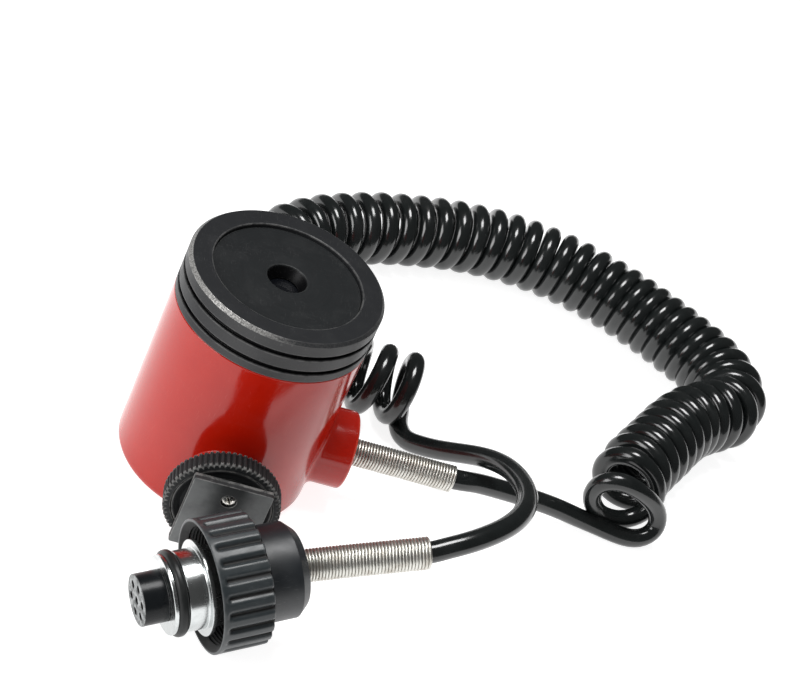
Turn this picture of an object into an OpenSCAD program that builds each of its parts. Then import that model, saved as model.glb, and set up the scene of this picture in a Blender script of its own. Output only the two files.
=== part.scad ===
// Waterproof flash trigger: round housing with a light sensor under a dark front,
// an accessory shoe with a locking ring, and a curly cord to a multi-pole plug.
// The origin is the middle of the housing's foot and +Z is the housing's axis.

/* [Housing] */
// Outer diameter of the shell and of the front ring
housing_d = 47; // [46:0.5:54]
// Height of the shell up to the front ring
shell_h = 46.8; // [44:0.2:60]
// Wall of the shell
shell_wall = 2.4; // [1.8:0.1:3]
// Thickness of the shell's floor
floor_t = 3; // [2:0.1:5]
// Radius round the shell's foot
foot_r = 2; // [0.5:0.1:3]

/* [Cord boss] */
// Diameter of the boss
boss_d = 19.2; // [16:0.2:21]
// Distance from the housing's axis to the boss's end face
boss_reach = 30.6; // [29:0.2:36]
// Height of the boss's axis
boss_z = 12.75; // [12:0.05:18]
// Radius round the boss's end
boss_edge = 0.8; // [0.3:0.1:1.5]
// Thickness of the boss's end wall
boss_wall = 1.5; // [1:0.1:2.5]
// Diameter of the gland inside the boss
gland_d = 10.3; // [8.5:0.1:12]
// Diameter of the gland's flange behind the wall
gland_flange_d = 13.2; // [12.5:0.1:15]
// Thickness of the gland's flange
gland_flange_t = 2; // [1:0.1:3]

/* [Front ring] */
// Height of the ring that shows above the shell
ring_h = 11.3; // [9:0.1:14]
// Chamfer round the front edge
ring_chamfer = 0.5; // [0.2:0.1:1]
// Width of each of the two grooves
groove_w = 0.9; // [0.5:0.1:1.4]
// Depth of each groove
groove_depth = 1; // [0.5:0.1:1.5]
// Height of the lower groove's middle above the shell
groove_low = 2.8; // [2:0.1:4]
// Height of the upper groove's middle above the shell
groove_high = 7.2; // [6:0.1:7.6]
// Diameter of the opening in the ring's face
face_hole_d = 35.8; // [32:0.2:36.4]
// Thickness of the ring's face lip
lip_t = 4; // [3:0.1:5]
// Length of the spigot inside the shell
spigot_l = 6; // [5:0.1:8]
// Wall of the spigot
spigot_wall = 1.65; // [1.4:0.05:2]
// Diameter of the seal's cord
seal_d = 1.2; // [1:0.1:1.4]

/* [Front disc] */
// Depth of the disc's face below the ring's face
disc_recess = 0.95; // [0.5:0.05:1.5]
// Thickness of the disc's flange
disc_flange_t = 2.2; // [1.5:0.1:3]
// Diameter of the sensor hole at the face
cone_d = 9.7; // [8:0.1:12]
// Diameter of the sensor hole at its bottom
cone_throat_d = 7.2; // [5:0.1:7.9]
// Diameter of the window
window_d = 12; // [10:0.1:14]
// Thickness of the window
window_t = 2; // [1:0.1:2.5]

/* [Inside] */
// Height of the board's holder
holder_h = 10.3; // [9:0.1:12]
// Wall of the board's holder
holder_wall = 1.65; // [1:0.05:2.5]
// Width of the ledge that carries the board
ledge_w = 1.7; // [1:0.1:3]
// Thickness of that ledge
ledge_t = 1.6; // [1:0.1:2.5]
// Thickness of the board
board_t = 1.6; // [1:0.1:2]
// Diameter of the light sensor's can
sensor_d = 8; // [5:0.1:9]
// Height of the light sensor's can
sensor_h = 4; // [3:0.1:4.6]
// Diameter of the light sensor's dome
dome_d = 4.6; // [3:0.1:4.8]
// Thickness of the clip under the holder
clip_t = 0.8; // [0.5:0.1:1.2]

/* [Accessory shoe] */
// Height of the shoe's axis
shoe_z = 13.9; // [13.6:0.1:18]
// Diameter of the pad on the shell
pad_d = 21; // [19:0.2:24]
// Distance from the housing's axis to the pad's face
pad_reach = 26.8; // [26:0.1:30]
// Diameter of the stem that carries the locking ring
stem_d = 16.4; // [15:0.1:17.4]
// Gap between the pad and the locking ring
ring_gap = 1.5; // [1.4:0.1:2.5]
// Diameter of the locking ring
lock_d = 27; // [26:0.2:27.2]
// Thickness of the locking ring
lock_t = 4.7; // [4:0.1:6]
// Number of teeth round the locking ring
lock_teeth = 64; // [48:2:72]
// Depth of those teeth
tooth_depth = 0.5; // [0.2:0.1:0.8]
// Diameter of the washer in the locking ring's face
washer_d = 23; // [21:0.2:23.6]
// Thickness of that washer
washer_t = 1; // [0.6:0.1:1.5]
// Gap between the locking ring and the foot's neck
neck_gap = 0.3; // [0.2:0.05:0.6]
// Thickness of the foot's neck
neck_t = 1.4; // [1.2:0.1:2.2]
// Width of the foot's neck
neck_w = 12.4; // [11:0.1:12.5]
// Length of the foot's neck
neck_l = 18; // [17.5:0.1:20]
// Width of the foot plate
plate_w = 18.6; // [17.5:0.1:19]
// Length of the foot plate
plate_l = 20.6; // [20:0.1:24]
// Thickness of the foot plate
plate_t = 2; // [1.5:0.1:2.5]
// Distance between the two foot screws
screw_gap = 11.6; // [9:0.1:12]
// Diameter of the foot screws
screw_d = 2; // [1.6:0.1:2.4]
// Diameter of the screws' heads
screw_head_d = 3.2; // [2.8:0.1:3.6]
// Height of the screws' heads
screw_head_t = 1; // [0.8:0.1:1.3]
// Length of the screws under the head
screw_l = 11; // [10:0.1:11.5]

/* [Cord and springs] */
// Diameter of the cord
cord_d = 5; // [4:0.1:5.1]
// Mean radius of the curls
curl_r = 7.7; // [7:0.1:9]
// How much wider the first, loose curl is
first_curl_extra = 1.6; // [0:0.1:2]
// Number of curls
curls = 45; // [20:1:45]
// Diameter of the springs' wire
wire_d = 0.7; // [0.5:0.05:0.75]
// Outer diameter of the housing's spring
spring_a_d = 6.8; // [6.6:0.1:7.2]
// Curls of the housing's spring
spring_a_curls = 21; // [10:1:21]
// Distance from the housing's axis to that spring's free end
spring_a_end = 57.8; // [50:0.1:58]
// Outer diameter of the plug's spring
spring_b_d = 7.6; // [7:0.1:7.8]
// Curls of the plug's spring
spring_b_curls = 24; // [10:1:24]

/* [Plug] */
// Tilt of the plug as it lies, nose down
plug_tilt = 12.4; // [0:0.1:13]
// Heading of the plug as it lies
plug_turn = 23.3; // [15:0.1:30]
// Diameter of the coupling nut
nut_d = 30.2; // [29:0.1:32]
// Length of the coupling nut
nut_l = 11.8; // [10:0.1:13]
// Diameter of the nut's mouth
mouth_d = 26.3; // [24:0.1:27]
// Depth of the nut's mouth
mouth_depth = 8.5; // [6:0.1:9]
// Chamfer round the nut's edges
nut_chamfer = 0.4; // [0.2:0.1:0.8]
// Number of flutes round the nut
flutes = 24; // [16:1:32]
// Radius of each flute
flute_r = 0.85; // [0.5:0.05:1]
// Length of the smooth rim in front of the flutes
rim_l = 1.5; // [1:0.1:3]
// Diameter of the plug's metal body
body_d = 18; // [16:0.1:19]
// Length of the metal body in front of the nut's edge
body_front = 8.9; // [8:0.1:12]
// Length of the metal body behind the nut's edge
body_rear = 18; // [15:0.1:19]
// Diameter of the body's flange
flange_d = 21.5; // [20:0.1:23]
// Thickness of the body's flange
flange_t = 1; // [0.6:0.1:2]
// Wall of the metal body at its rear
body_wall = 2; // [1:0.1:2.5]
// Diameter of the O-ring's cord
oring_d = 2.4; // [1.6:0.1:2.6]
// Outer diameter of the O-ring
oring_out_d = 19.3; // [18:0.1:19.6]
// Width of the lip in front of the O-ring
oring_lip = 0.9; // [0.5:0.1:1.5]
// Diameter of the contact insert
insert_d = 11.64; // [9:0.02:12.4]
// Length of the insert that shows in front of the body
insert_front = 5.8; // [3:0.1:8]
// Step from the insert's head down to its shank in the body
insert_step = 0.3; // [0.2:0.1:0.6]
// Length of the insert inside the body
insert_rear = 10.9; // [6:0.1:12]
// Diameter of the contacts
contact_d = 0.9; // [0.6:0.05:1.2]
// Depth of the contact holes
contact_depth = 6; // [4:0.1:8]
// Depth of the contacts' ends below the insert's face
contact_drop = 0.6; // [0.2:0.1:1]
// Radius of the circle of contacts
contact_r = 3.6; // [2.6:0.1:4]
// Number of contacts round the middle one
contacts = 6; // [4:1:8]
// Diameter of the backshell
back_d = 21.8; // [20:0.1:23]
// Length of the backshell's straight part
back_l = 7.9; // [7:0.1:12]
// Length of the backshell's taper
taper_l = 2.3; // [1.5:0.1:4]
// Diameter of the backshell's end
back_end_d = 17.8; // [14:0.1:19]
// Depth of the spring's seat in the backshell
seat_depth = 1.6; // [1:0.1:2.5]

/* [Fits] */
// Clearance between pieces that stay fixed in each other
fit = 0.05; // [0.02:0.01:0.08]
// Radial clearance between pieces that turn or slide on each other
run_fit = 0.1; // [0.05:0.01:0.1]

/* [Hidden] */
$fn = 96;

// heights and distances that follow from the sizes
shell_r = housing_d / 2;
bore_r = shell_r - shell_wall;
ring_top = shell_h + ring_h;
lip_low = ring_top - lip_t;
spigot_r = bore_r - fit;
pocket_r = spigot_r - spigot_wall;
disc_top = ring_top - disc_recess;
disc_low = lip_low - disc_flange_t;
window_top = lip_low + fit;
holder_low = disc_low - holder_h;
board_low = holder_low + ledge_t;
board_top = board_low + board_t;
lead_in = shell_r - 9.5;
cord_r = cord_d / 2;
cord_hole_r = cord_r + run_fit;
gland_end = boss_reach - boss_wall;
stem_r = stem_d / 2;
ring_back = pad_reach + ring_gap;
ring_face = ring_back + lock_t;
neck_back = ring_face + neck_gap;
plate_back = neck_back + neck_t;
plate_face = plate_back + plate_t;
back_start = nut_l + 3 * run_fit;
back_end = back_start + back_l + taper_l;
plug_tip = body_front + insert_front;

// where the plug lies: its rim stands on the ground
plug_x = -3.5;
plug_y = -60;
plug_z = nut_d / 2 * cos(plug_tilt) - nut_chamfer * sin(plug_tilt);
plug_at = [plug_x, plug_y, plug_z];
plug_dir = [cos(plug_tilt) * cos(plug_turn), cos(plug_tilt) * sin(plug_turn), sin(plug_tilt)];

// points along the cord as it lies
bend_a = [
    [63.2, 1.8, 12], [69.5, 3.8, 10.5], [76.7, 6, 8.5], [83.7, 7.9, 6.6],
    [90.2, 9.1, 4.9], [95.3, 9.5, 3.6]
];
coil_route = [
    [104.4, 7.2], [108.2, 21.5], [114.6, 35], [121.2, 46.4], [128.8, 54], [136.4, 58.8],
    [141, 65.4], [140.4, 74], [137.6, 81], [132, 89], [123.5, 97], [110, 103.5], [93, 107],
    [74, 107], [53, 102.5], [33, 94.5], [16.5, 83], [6.5, 67.5], [7, 51.5], [17.5, 40],
    [31.5, 33.5], [46.5, 32]
];
bend_b = [
    [46.9, 24.4, 2.5], [48.8, 22, 3.1], [51.6, 18.7, 5.1], [54.5, 15.5, 7.6],
    [57.5, 12.4, 10.6], [60.5, 9.3, 13.8], [63.3, 6, 17], [65.8, 2.1, 20.1],
    [67.9, -2.6, 23], [69.4, -8.5, 25.7], [69.9, -16, 28.4], [68.6, -23.5, 30.3],
    [65.7, -29.8, 31.2], [62.1, -34.4, 31.5], [58.4, -37.7, 31.2], [54.9, -40.2, 30.7],
    [51.6, -42, 29.9], [48.3, -43.5, 29]
];
spring_b_far = [45, -44.8, 27.8];

function unit(v) = v / norm(v);

// a smooth line through hand-set points, with steps between each two
function smooth(p, steps) = [
    for (i = [0:len(p) - 2])
        let (
            a = p[max(i - 1, 0)],
            b = p[i],
            c = p[i + 1],
            d = p[min(i + 2, len(p) - 1)]
        )
        for (k = [0:steps - 1])
            let (t = k / steps)
            0.5 * (2 * b + (c - a) * t + (2 * a - 5 * b + 4 * c - d) * t * t
                + (3 * b - a - 3 * c + d) * t * t * t),
    p[len(p) - 1]
];

// running sums of a list, starting from nothing
function sums(v) = [
    for (i = 0, a = 0; i <= len(v); a = a + (i < len(v) ? v[i] : 0), i = i + 1) a
];

// turning of a line at each of its points, in radians
function bends(p) = [
    for (i = [0:len(p) - 1])
        (i == 0 || i == len(p) - 1) ? 0 :
            let (
                u = unit(p[i] - p[i - 1]),
                v = unit(p[i + 1] - p[i])
            )
            2 * asin(min(1, norm(v - u) / 2)) * PI / 180
];

// centre line as columns against the angle wound; the pitch grows outside a bend
function winding(p, r, n) =
    let (
        turn = bends(p),
        w = sums([
            for (i = [0:len(p) - 2]) norm(p[i + 1] - p[i]) - r * (turn[i] + turn[i + 1]) / 2
        ]),
        scale_up = 360 * n / w[len(w) - 1]
    )
    [for (axis = [0:2]) [for (i = [0:len(p) - 1]) [w[i] * scale_up, p[i][axis]]]];

function along(cols, a) = [for (c = cols) lookup(a, c)];

// frame of the centre line at a wound angle: ahead, to the right and up
function heading(cols, a, last) =
    unit(along(cols, min(a + 30, last)) - along(cols, max(a - 30, 0)));
function rightward(h) = unit(cross(h, [0, 0, 1]));

// a point of the wound tube, from the bottom round to the right
function curl_point(cols, r, a, last) =
    let (
        h = heading(cols, a, last),
        n = rightward(h),
        u = cross(n, h)
    )
    along(cols, a) + r * (sin(a) * n - cos(a) * u);

// extra radius of the first curls; they stay level at the bottom
function widening(a, extra) = extra * pow(max(0, 1 - a / 540), 2);

function curl_points(cols, r, n, extra = 0) = [
    for (k = [0:8 * n])
        let (a = 45 * k, e = widening(a, extra))
        curl_point(cols, r + e, a, 360 * n) + [0, 0, e]
];

// the direction that each ring of a wound tube is set out from
function curl_refs(cols, r, n) = [
    for (k = [0:8 * n]) curl_point(cols, r, 45 * k, 360 * n) - along(cols, 45 * k)
];

// distance of a point from a piece of line
function near(q, a, b) =
    let (d = b - a, t = max(0, min(1, (q - a) * d / (d * d)))) norm(q - a - t * d);

// least distance between two curls of a wound tube, less its thickness
function least_gap(p, thick) = min([
    for (i = [0:len(p) - 8])
        for (j = [i + 5:len(p) - 2])
            if (j < i + 14 || norm(p[j] - p[i]) < 3 * thick) near(p[i], p[j], p[j + 1])
]) - thick;

// a tube along points; its sections stand square to it
module tube(p, refs, r, sides) {
    n = len(p);
    rings = [
        for (i = [0:n - 1])
            let (
                t = unit(p[min(i + 1, n - 1)] - p[max(i - 1, 0)]),
                u = unit(refs[i] - (refs[i] * t) * t),
                v = cross(t, u)
            )
            for (k = [0:sides - 1])
                p[i] + r * (cos(360 * k / sides) * u + sin(360 * k / sides) * v)
    ];
    skin = [
        for (i = [0:n - 2])
            for (k = [0:sides - 1])
                let (
                    a = i * sides + k,
                    b = i * sides + (k + 1) % sides,
                    c = b + sides,
                    d = a + sides
                )
                for (f = [[a, b, c], [a, c, d]]) [f[2], f[1], f[0]]
    ];
    near_cap = [for (k = [1:sides - 2]) [0, k, k + 1]];
    far = (n - 1) * sides;
    far_cap = [for (k = [1:sides - 2]) [far, far + k + 1, far + k]];
    polyhedron(points = rings, faces = concat(skin, near_cap, far_cap), convexity = 10);
}

// a plain cord along points
module cord(p, sides) {
    tube(p, [for (q = p) [0, 0, 1]], cord_r, sides);
}

// pieces that lie along the plug's axis, whose zero is the nut's front edge
module on_plug() {
    translate(plug_at) rotate([0, 90 - plug_tilt, plug_turn]) children();
}

// pieces that lie along the shoe's axis, measured outwards from the housing's axis
module on_shoe() {
    translate([0, 0, shoe_z]) rotate([90, 0, 0]) children();
}

// pieces that lie along the boss's axis, measured outwards from the housing's axis
module on_boss() {
    translate([0, 0, boss_z]) rotate([0, 90, 0]) children();
}

module disc_at(z, r, h) {
    translate([0, 0, z]) cylinder(r = r, h = h);
}

module screw_places() {
    for (side = [-1, 1])
        translate([0, side * screw_gap / 2, 0]) children();
}

// ---------------------------------------------------------------- housing

module shell_outside() {
    rotate_extrude() {
        translate([0, foot_r]) square([shell_r, shell_h - foot_r]);
        square([shell_r - foot_r, foot_r]);
        intersection() {
            translate([shell_r - foot_r, foot_r]) circle(r = foot_r);
            square([shell_r, foot_r]);
        }
    }
}

module boss_outside() {
    on_boss() rotate_extrude() {
        square([boss_d / 2, boss_reach - boss_edge]);
        translate([0, boss_reach - boss_edge])
            square([boss_d / 2 - boss_edge, boss_edge]);
        intersection() {
            translate([boss_d / 2 - boss_edge, boss_reach - boss_edge])
                circle(r = boss_edge);
            translate([0, boss_reach - boss_edge]) square([boss_d / 2, boss_edge]);
        }
    }
}

module housing_shell() {
    color("firebrick") difference() {
        union() {
            shell_outside();
            boss_outside();
            on_shoe() disc_at(0, pad_d / 2, pad_reach);
        }
        disc_at(floor_t, bore_r, shell_h);
        on_boss() disc_at(0, gland_d / 2 + fit, gland_end);
        on_boss() disc_at(0, spring_a_d / 2 + 3 * run_fit, boss_reach + 1);
        on_shoe() screw_places() disc_at(0, screw_d / 2 + fit, pad_reach + 1);
    }
}

module front_ring() {
    color([0.12, 0.12, 0.13]) difference() {
        union() {
            disc_at(shell_h, shell_r, ring_h - ring_chamfer);
            translate([0, 0, ring_top - ring_chamfer])
                cylinder(r1 = shell_r, r2 = shell_r - ring_chamfer, h = ring_chamfer);
            disc_at(shell_h - spigot_l, spigot_r, spigot_l + 1);
        }
        disc_at(shell_h - spigot_l - 1, pocket_r, lip_low - shell_h + spigot_l + 1);
        disc_at(0, face_hole_d / 2, ring_top + 1);
        for (z = [groove_low, groove_high])
            ring_cut(shell_h + z - groove_w / 2, shell_r - groove_depth, shell_r + 1, groove_w);
        ring_cut(shell_h - spigot_l / 2 - seal_d / 2 - fit, bore_r - seal_d - fit,
            spigot_r + 1, seal_d + 2 * fit);
    }
}

module ring_cut(z, r_in, r_out, h) {
    difference() {
        disc_at(z, r_out, h);
        disc_at(z - 1, r_in, h + 2);
    }
}

module front_seal() {
    color([0.05, 0.05, 0.05])
        rotate_extrude()
            translate([bore_r - seal_d / 2 - 0.01, shell_h - spigot_l / 2])
                circle(d = seal_d - 0.02);
}

module front_disc() {
    color([0.1, 0.1, 0.11]) difference() {
        union() {
            disc_at(disc_low, pocket_r - fit, disc_flange_t);
            disc_at(disc_low, face_hole_d / 2 - fit, disc_top - disc_low);
        }
        disc_at(disc_low - 1, window_d / 2 + fit, window_top - disc_low + 1);
        translate([0, 0, window_top])
            cylinder(d1 = cone_throat_d, d2 = cone_d, h = disc_top - window_top);
        disc_at(disc_top - 0.01, cone_d / 2, 1);
    }
}

module window_lens() {
    color("steelblue") disc_at(window_top - window_t, window_d / 2, window_t);
}

module board_holder() {
    color([0.25, 0.25, 0.27]) difference() {
        disc_at(holder_low, pocket_r - fit, holder_h);
        disc_at(board_low, pocket_r - fit - holder_wall, holder_h);
        disc_at(holder_low - 1, pocket_r - fit - holder_wall - ledge_w, holder_h);
    }
}

module sensor_board() {
    color("darkgreen")
        disc_at(board_low, pocket_r - 2 * fit - holder_wall, board_t);
}

module light_sensor() {
    color("silver") {
        disc_at(board_top, sensor_d / 2, sensor_h);
        translate([0, 0, board_top + sensor_h - 0.1]) sphere(d = dome_d);
    }
}

module holder_clip() {
    color("gray") difference() {
        disc_at(holder_low - clip_t, pocket_r - fit, clip_t);
        disc_at(holder_low - clip_t - 1, pocket_r - holder_wall - ledge_w, clip_t + 2);
    }
}

module cord_gland() {
    color([0.15, 0.15, 0.15]) on_boss() difference() {
        union() {
            disc_at(bore_r - gland_flange_t - 1.2, gland_flange_d / 2, gland_flange_t);
            disc_at(bore_r - 2, gland_d / 2, gland_end - bore_r + 2);
        }
        disc_at(0, cord_hole_r, gland_end + 1);
    }
}

// ------------------------------------------------------------------- shoe

module shoe_stem() {
    color([0.2, 0.2, 0.22]) on_shoe() difference() {
        disc_at(pad_reach, stem_r, neck_back - pad_reach);
        screw_places() disc_at(pad_reach - 1, screw_d / 2 + fit, neck_back);
    }
}

module lock_washer() {
    color([0.3, 0.3, 0.32]) on_shoe() difference() {
        disc_at(ring_face - washer_t - 0.15, washer_d / 2, washer_t);
        disc_at(ring_face - washer_t - 1, stem_r + run_fit, washer_t + 2);
    }
}

module toothed(r, teeth, depth) {
    polygon([
        for (i = [0:teeth - 1])
            for (s = [[-0.32, r - depth], [-0.14, r], [0.14, r], [0.32, r - depth]])
                let (a = 360 * (i + s[0]) / teeth)
                [s[1] * cos(a), s[1] * sin(a)]
    ]);
}

module lock_ring() {
    color([0.08, 0.08, 0.09]) on_shoe() difference() {
        intersection() {
            translate([0, 0, ring_back]) linear_extrude(lock_t)
                toothed(lock_d / 2, lock_teeth, tooth_depth);
            union() {
                translate([0, 0, ring_back])
                    cylinder(r1 = lock_d / 2 - 0.4, r2 = lock_d / 2 + 0.1, h = 0.5);
                disc_at(ring_back + 0.5, lock_d / 2 + 0.1, lock_t - 1);
                translate([0, 0, ring_face - 0.5])
                    cylinder(r1 = lock_d / 2 + 0.1, r2 = lock_d / 2 - 0.4, h = 0.5);
            }
        }
        disc_at(ring_back - 1, stem_r + run_fit, lock_t + 2);
        disc_at(ring_face - washer_t - 0.15 - fit, washer_d / 2 + run_fit, washer_t + 2);
    }
}

module shoe_foot() {
    color([0.22, 0.22, 0.24]) on_shoe() difference() {
        union() {
            translate([-plate_w / 2, -plate_l / 2, plate_back])
                cube([plate_w, plate_l, plate_t]);
            translate([-neck_w / 2, -neck_l / 2, neck_back])
                cube([neck_w, neck_l, neck_t]);
        }
        screw_places() disc_at(neck_back - 1, screw_d / 2 + fit, plate_t + neck_t + 2);
        screw_places()
            disc_at(plate_face - screw_head_t - 0.2, screw_head_d / 2 + 0.2, plate_t);
    }
}

module foot_screws() {
    color("silver") on_shoe() screw_places() {
        disc_at(plate_face - screw_head_t - 0.2, screw_head_d / 2, screw_head_t);
        disc_at(plate_face - screw_head_t - 0.2 - screw_l, screw_d / 2, screw_l);
    }
}

// ------------------------------------------------------- cord and springs

coil_line = [for (q = smooth(coil_route, 8)) [q[0], q[1], cord_r + curl_r]];
coil_cols = winding(coil_line, curl_r + cord_r / 3, curls);
coil_from = curl_point(coil_cols, curl_r, 0, 360 * curls);
coil_to = curl_point(coil_cols, curl_r, 360 * curls, 360 * curls);
coil_in_way = rightward(heading(coil_cols, 0, 360 * curls));
coil_out_way = rightward(heading(coil_cols, 360 * curls, 360 * curls));
coil_in = coil_from - cord_d * coil_in_way;
coil_out = coil_to + cord_d * coil_out_way;

// middle line of the plug's spring, from the backshell's seat to its free end
spring_b_from = plug_at + (back_end - seat_depth) * plug_dir;
spring_b_span = norm(spring_b_far - spring_b_from);
spring_b_way = unit(spring_b_far - spring_b_from);
function spring_b_at(t) =
    let (
        p = spring_b_from,
        q = spring_b_from + spring_b_span / 6 * plug_dir,
        r = spring_b_far - spring_b_span / 3 * spring_b_way,
        s = spring_b_far
    )
    pow(1 - t, 3) * p + 3 * t * pow(1 - t, 2) * q + 3 * t * t * (1 - t) * r + pow(t, 3) * s;

module housing_lead() {
    color([0.07, 0.07, 0.08]) cord(concat(
        [for (x = [lead_in, gland_end, spring_a_end - 14, spring_a_end]) [x, 0, boss_z]],
        bend_a, [coil_in - cord_d / 4 * coil_in_way, coil_in - fit * coil_in_way]
    ), 8);
}

module coil_cord() {
    points = curl_points(coil_cols, curl_r, curls, first_curl_extra);
    refs = curl_refs(coil_cols, curl_r, curls);
    echo(coil_least_gap = least_gap(points, cord_d));
    color([0.06, 0.06, 0.07]) tube(
        concat([coil_in], points, [coil_out]),
        concat([refs[0]], refs, [refs[len(refs) - 1]]),
        cord_r, 6
    );
}

module plug_lead() {
    color([0.07, 0.07, 0.08]) cord(concat(
        [coil_out + fit * coil_out_way, coil_out + cord_d / 4 * coil_out_way], bend_b, [for (k = [0:4]) spring_b_at(1 - k / 4)],
        [plug_at + (back_start + back_l) * plug_dir]
    ), 8);
}

// a spring that stands on its seat with one straight end
module spring(line, r, n) {
    cols = winding(line, r, n);
    points = curl_points(cols, r, n);
    refs = curl_refs(cols, r, n);
    last = len(points) - 1;
    ahead = heading(cols, 0, 360 * n);
    echo(spring_least_gap = least_gap(points, wire_d));
    tube(
        concat([points[0] - wire_d * ahead], points,
            [points[last] + wire_d * rightward(heading(cols, 360 * n, 360 * n))]),
        concat([refs[0]], refs, [refs[last]]),
        wire_d / 2, 6
    );
}

module housing_spring() {
    from = gland_end + wire_d + fit;
    color("silver") spring(
        [for (k = [0:20]) [from + (spring_a_end - from) * k / 20, 0, boss_z]],
        (spring_a_d - wire_d) / 2, spring_a_curls
    );
}

module plug_spring() {
    first = (wire_d + 3 * fit) / spring_b_span;
    color("silver") spring(
        [for (k = [0:20]) spring_b_at(first + (1 - first) * k / 20)],
        (spring_b_d - wire_d) / 2, spring_b_curls
    );
}

// ------------------------------------------------------------------- plug

module plug_backshell() {
    color([0.1, 0.1, 0.11]) on_plug() difference() {
        union() {
            disc_at(back_start, back_d / 2, back_l);
            translate([0, 0, back_start + back_l])
                cylinder(d1 = back_d, d2 = back_end_d, h = taper_l);
        }
        disc_at(back_start - 1, body_d / 2 + fit, body_rear - back_start + 1 + fit);
        disc_at(back_start, body_d / 2 - body_wall, back_end - seat_depth - body_wall - back_start);
        disc_at(back_end - seat_depth, spring_b_d / 2 + 3 * run_fit, seat_depth + 1);
        disc_at(back_start, cord_hole_r, back_l + taper_l + 1);
    }
}

module plug_body() {
    groove_r = oring_out_d / 2 - oring_d - fit;
    color("gainsboro") on_plug() difference() {
        union() {
            disc_at(-body_front, groove_r, body_front);
            disc_at(-body_front, body_d / 2, oring_lip);
            translate([0, 0, oring_lip + oring_d + 2 * fit - body_front])
                cylinder(r = body_d / 2, h = body_front + body_rear - oring_lip - oring_d - 2 * fit);
            disc_at(-flange_t, flange_d / 2, flange_t);
        }
        disc_at(-body_front - 1, insert_d / 2 - insert_step + fit, insert_rear + 1 + fit);
        disc_at(insert_rear - body_front, body_d / 2 - body_wall, body_rear + body_front);
    }
}

module plug_oring() {
    color([0.03, 0.03, 0.03]) on_plug()
        translate([0, 0, oring_lip + oring_d / 2 + fit - body_front])
            rotate_extrude()
                translate([(oring_out_d - oring_d) / 2, 0]) circle(d = oring_d);
}

module plug_nut() {
    color([0.13, 0.13, 0.14]) on_plug() difference() {
        union() {
            cylinder(d1 = nut_d - 2 * nut_chamfer, d2 = nut_d, h = nut_chamfer);
            disc_at(nut_chamfer, nut_d / 2, nut_l - 2 * nut_chamfer);
            translate([0, 0, nut_l - nut_chamfer])
                cylinder(d1 = nut_d, d2 = nut_d - 2 * nut_chamfer, h = nut_chamfer);
        }
        disc_at(-1, mouth_d / 2, mouth_depth + 1);
        disc_at(-1, body_d / 2 + run_fit, nut_l + 2);
        for (i = [0:flutes - 1])
            rotate([0, 0, 360 * i / flutes])
                translate([nut_d / 2 + 0.2 * flute_r, 0, rim_l])
                    cylinder(r = flute_r, h = nut_l, $fn = 24);
    }
}

module contact_places() {
    children();
    for (i = [0:contacts - 1])
        rotate([0, 0, 360 * i / contacts]) translate([contact_r, 0, 0]) children();
}

module plug_insert() {
    color([0.08, 0.08, 0.09]) on_plug() difference() {
        union() {
            disc_at(-plug_tip, insert_d / 2, insert_front - fit);
            disc_at(-plug_tip, insert_d / 2 - insert_step, insert_front + insert_rear);
        }
        contact_places()
            translate([0, 0, -plug_tip - 1])
                cylinder(r = contact_d / 2 + fit, h = contact_depth + 1, $fn = 24);
    }
}

module plug_contacts() {
    color("gold") on_plug() contact_places()
        translate([0, 0, contact_drop - plug_tip])
            cylinder(d = contact_d, h = contact_depth - contact_drop, $fn = 24);
}

housing_shell();
front_ring();
front_seal();
front_disc();
window_lens();
board_holder();
sensor_board();
light_sensor();
holder_clip();
cord_gland();
housing_spring();
shoe_stem();
lock_washer();
lock_ring();
shoe_foot();
foot_screws();
housing_lead();
coil_cord();
plug_lead();
plug_spring();
plug_backshell();
plug_body();
plug_nut();
plug_oring();
plug_insert();
plug_contacts();
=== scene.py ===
"""Waterproof flash sensor with its curly cord and plug, dressed for rendering."""
import bisect
import math

import bmesh
import bpy
from mathutils import Matrix, Vector, noise


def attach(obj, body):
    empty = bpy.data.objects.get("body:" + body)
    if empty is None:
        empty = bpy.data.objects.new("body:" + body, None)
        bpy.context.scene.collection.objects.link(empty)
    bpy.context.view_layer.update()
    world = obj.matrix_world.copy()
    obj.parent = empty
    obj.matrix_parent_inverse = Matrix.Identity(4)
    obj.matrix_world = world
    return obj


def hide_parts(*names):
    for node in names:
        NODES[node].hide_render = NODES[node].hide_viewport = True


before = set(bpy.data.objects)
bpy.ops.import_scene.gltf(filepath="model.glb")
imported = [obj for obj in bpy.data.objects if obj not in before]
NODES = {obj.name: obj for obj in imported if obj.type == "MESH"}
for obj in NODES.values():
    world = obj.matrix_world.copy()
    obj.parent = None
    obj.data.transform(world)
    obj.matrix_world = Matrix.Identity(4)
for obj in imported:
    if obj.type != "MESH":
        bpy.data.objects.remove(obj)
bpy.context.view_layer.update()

MM = 0.001

# ------------------------------------------------------------ sizes, in mm
# housing: radii from its upright axis, heights from the table
SHELL_R = 23.5
SHELL_H = 46.8
SHELL_WALL = 2.4
SHELL_ROUND = 2.0
FLOOR_T = 3.0
RING_TOP = 58.1
RING_CHAMFER = 0.75
RING_BORE = 19.4
RING_SLEEVE_R = 21.05
RING_SLEEVE_END = 40.8
RING_LEDGE = 54.1
RING_GAP = 0.02
GROOVES = (49.6, 54.0)
GROOVE_W = 1.15
GROOVE_DEPTH = 0.95
FACE_HOLE_R = 17.9
DISC_TOP = 57.15
DISC_BACK = 51.9
DISC_SHOULDER = 54.05
DISC_R = 19.35
DISC_FACE_R = 17.85
CONE_R = 4.85
CONE_END_R = 3.6
LENS_SEAT = 54.15
LENS_SEAT_R = 6.05
LENS_BACK = 52.15
LENS_R = 6.0
LENS_EDGE = 53.4
LENS_TOP = 54.14
BOSS_R = 9.6
BOSS_END = 30.6
BOSS_Z = 12.75
BOSS_HOLE_R = 3.7
PAD_R = 8.8
PAD_FACE = 26.8
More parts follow.
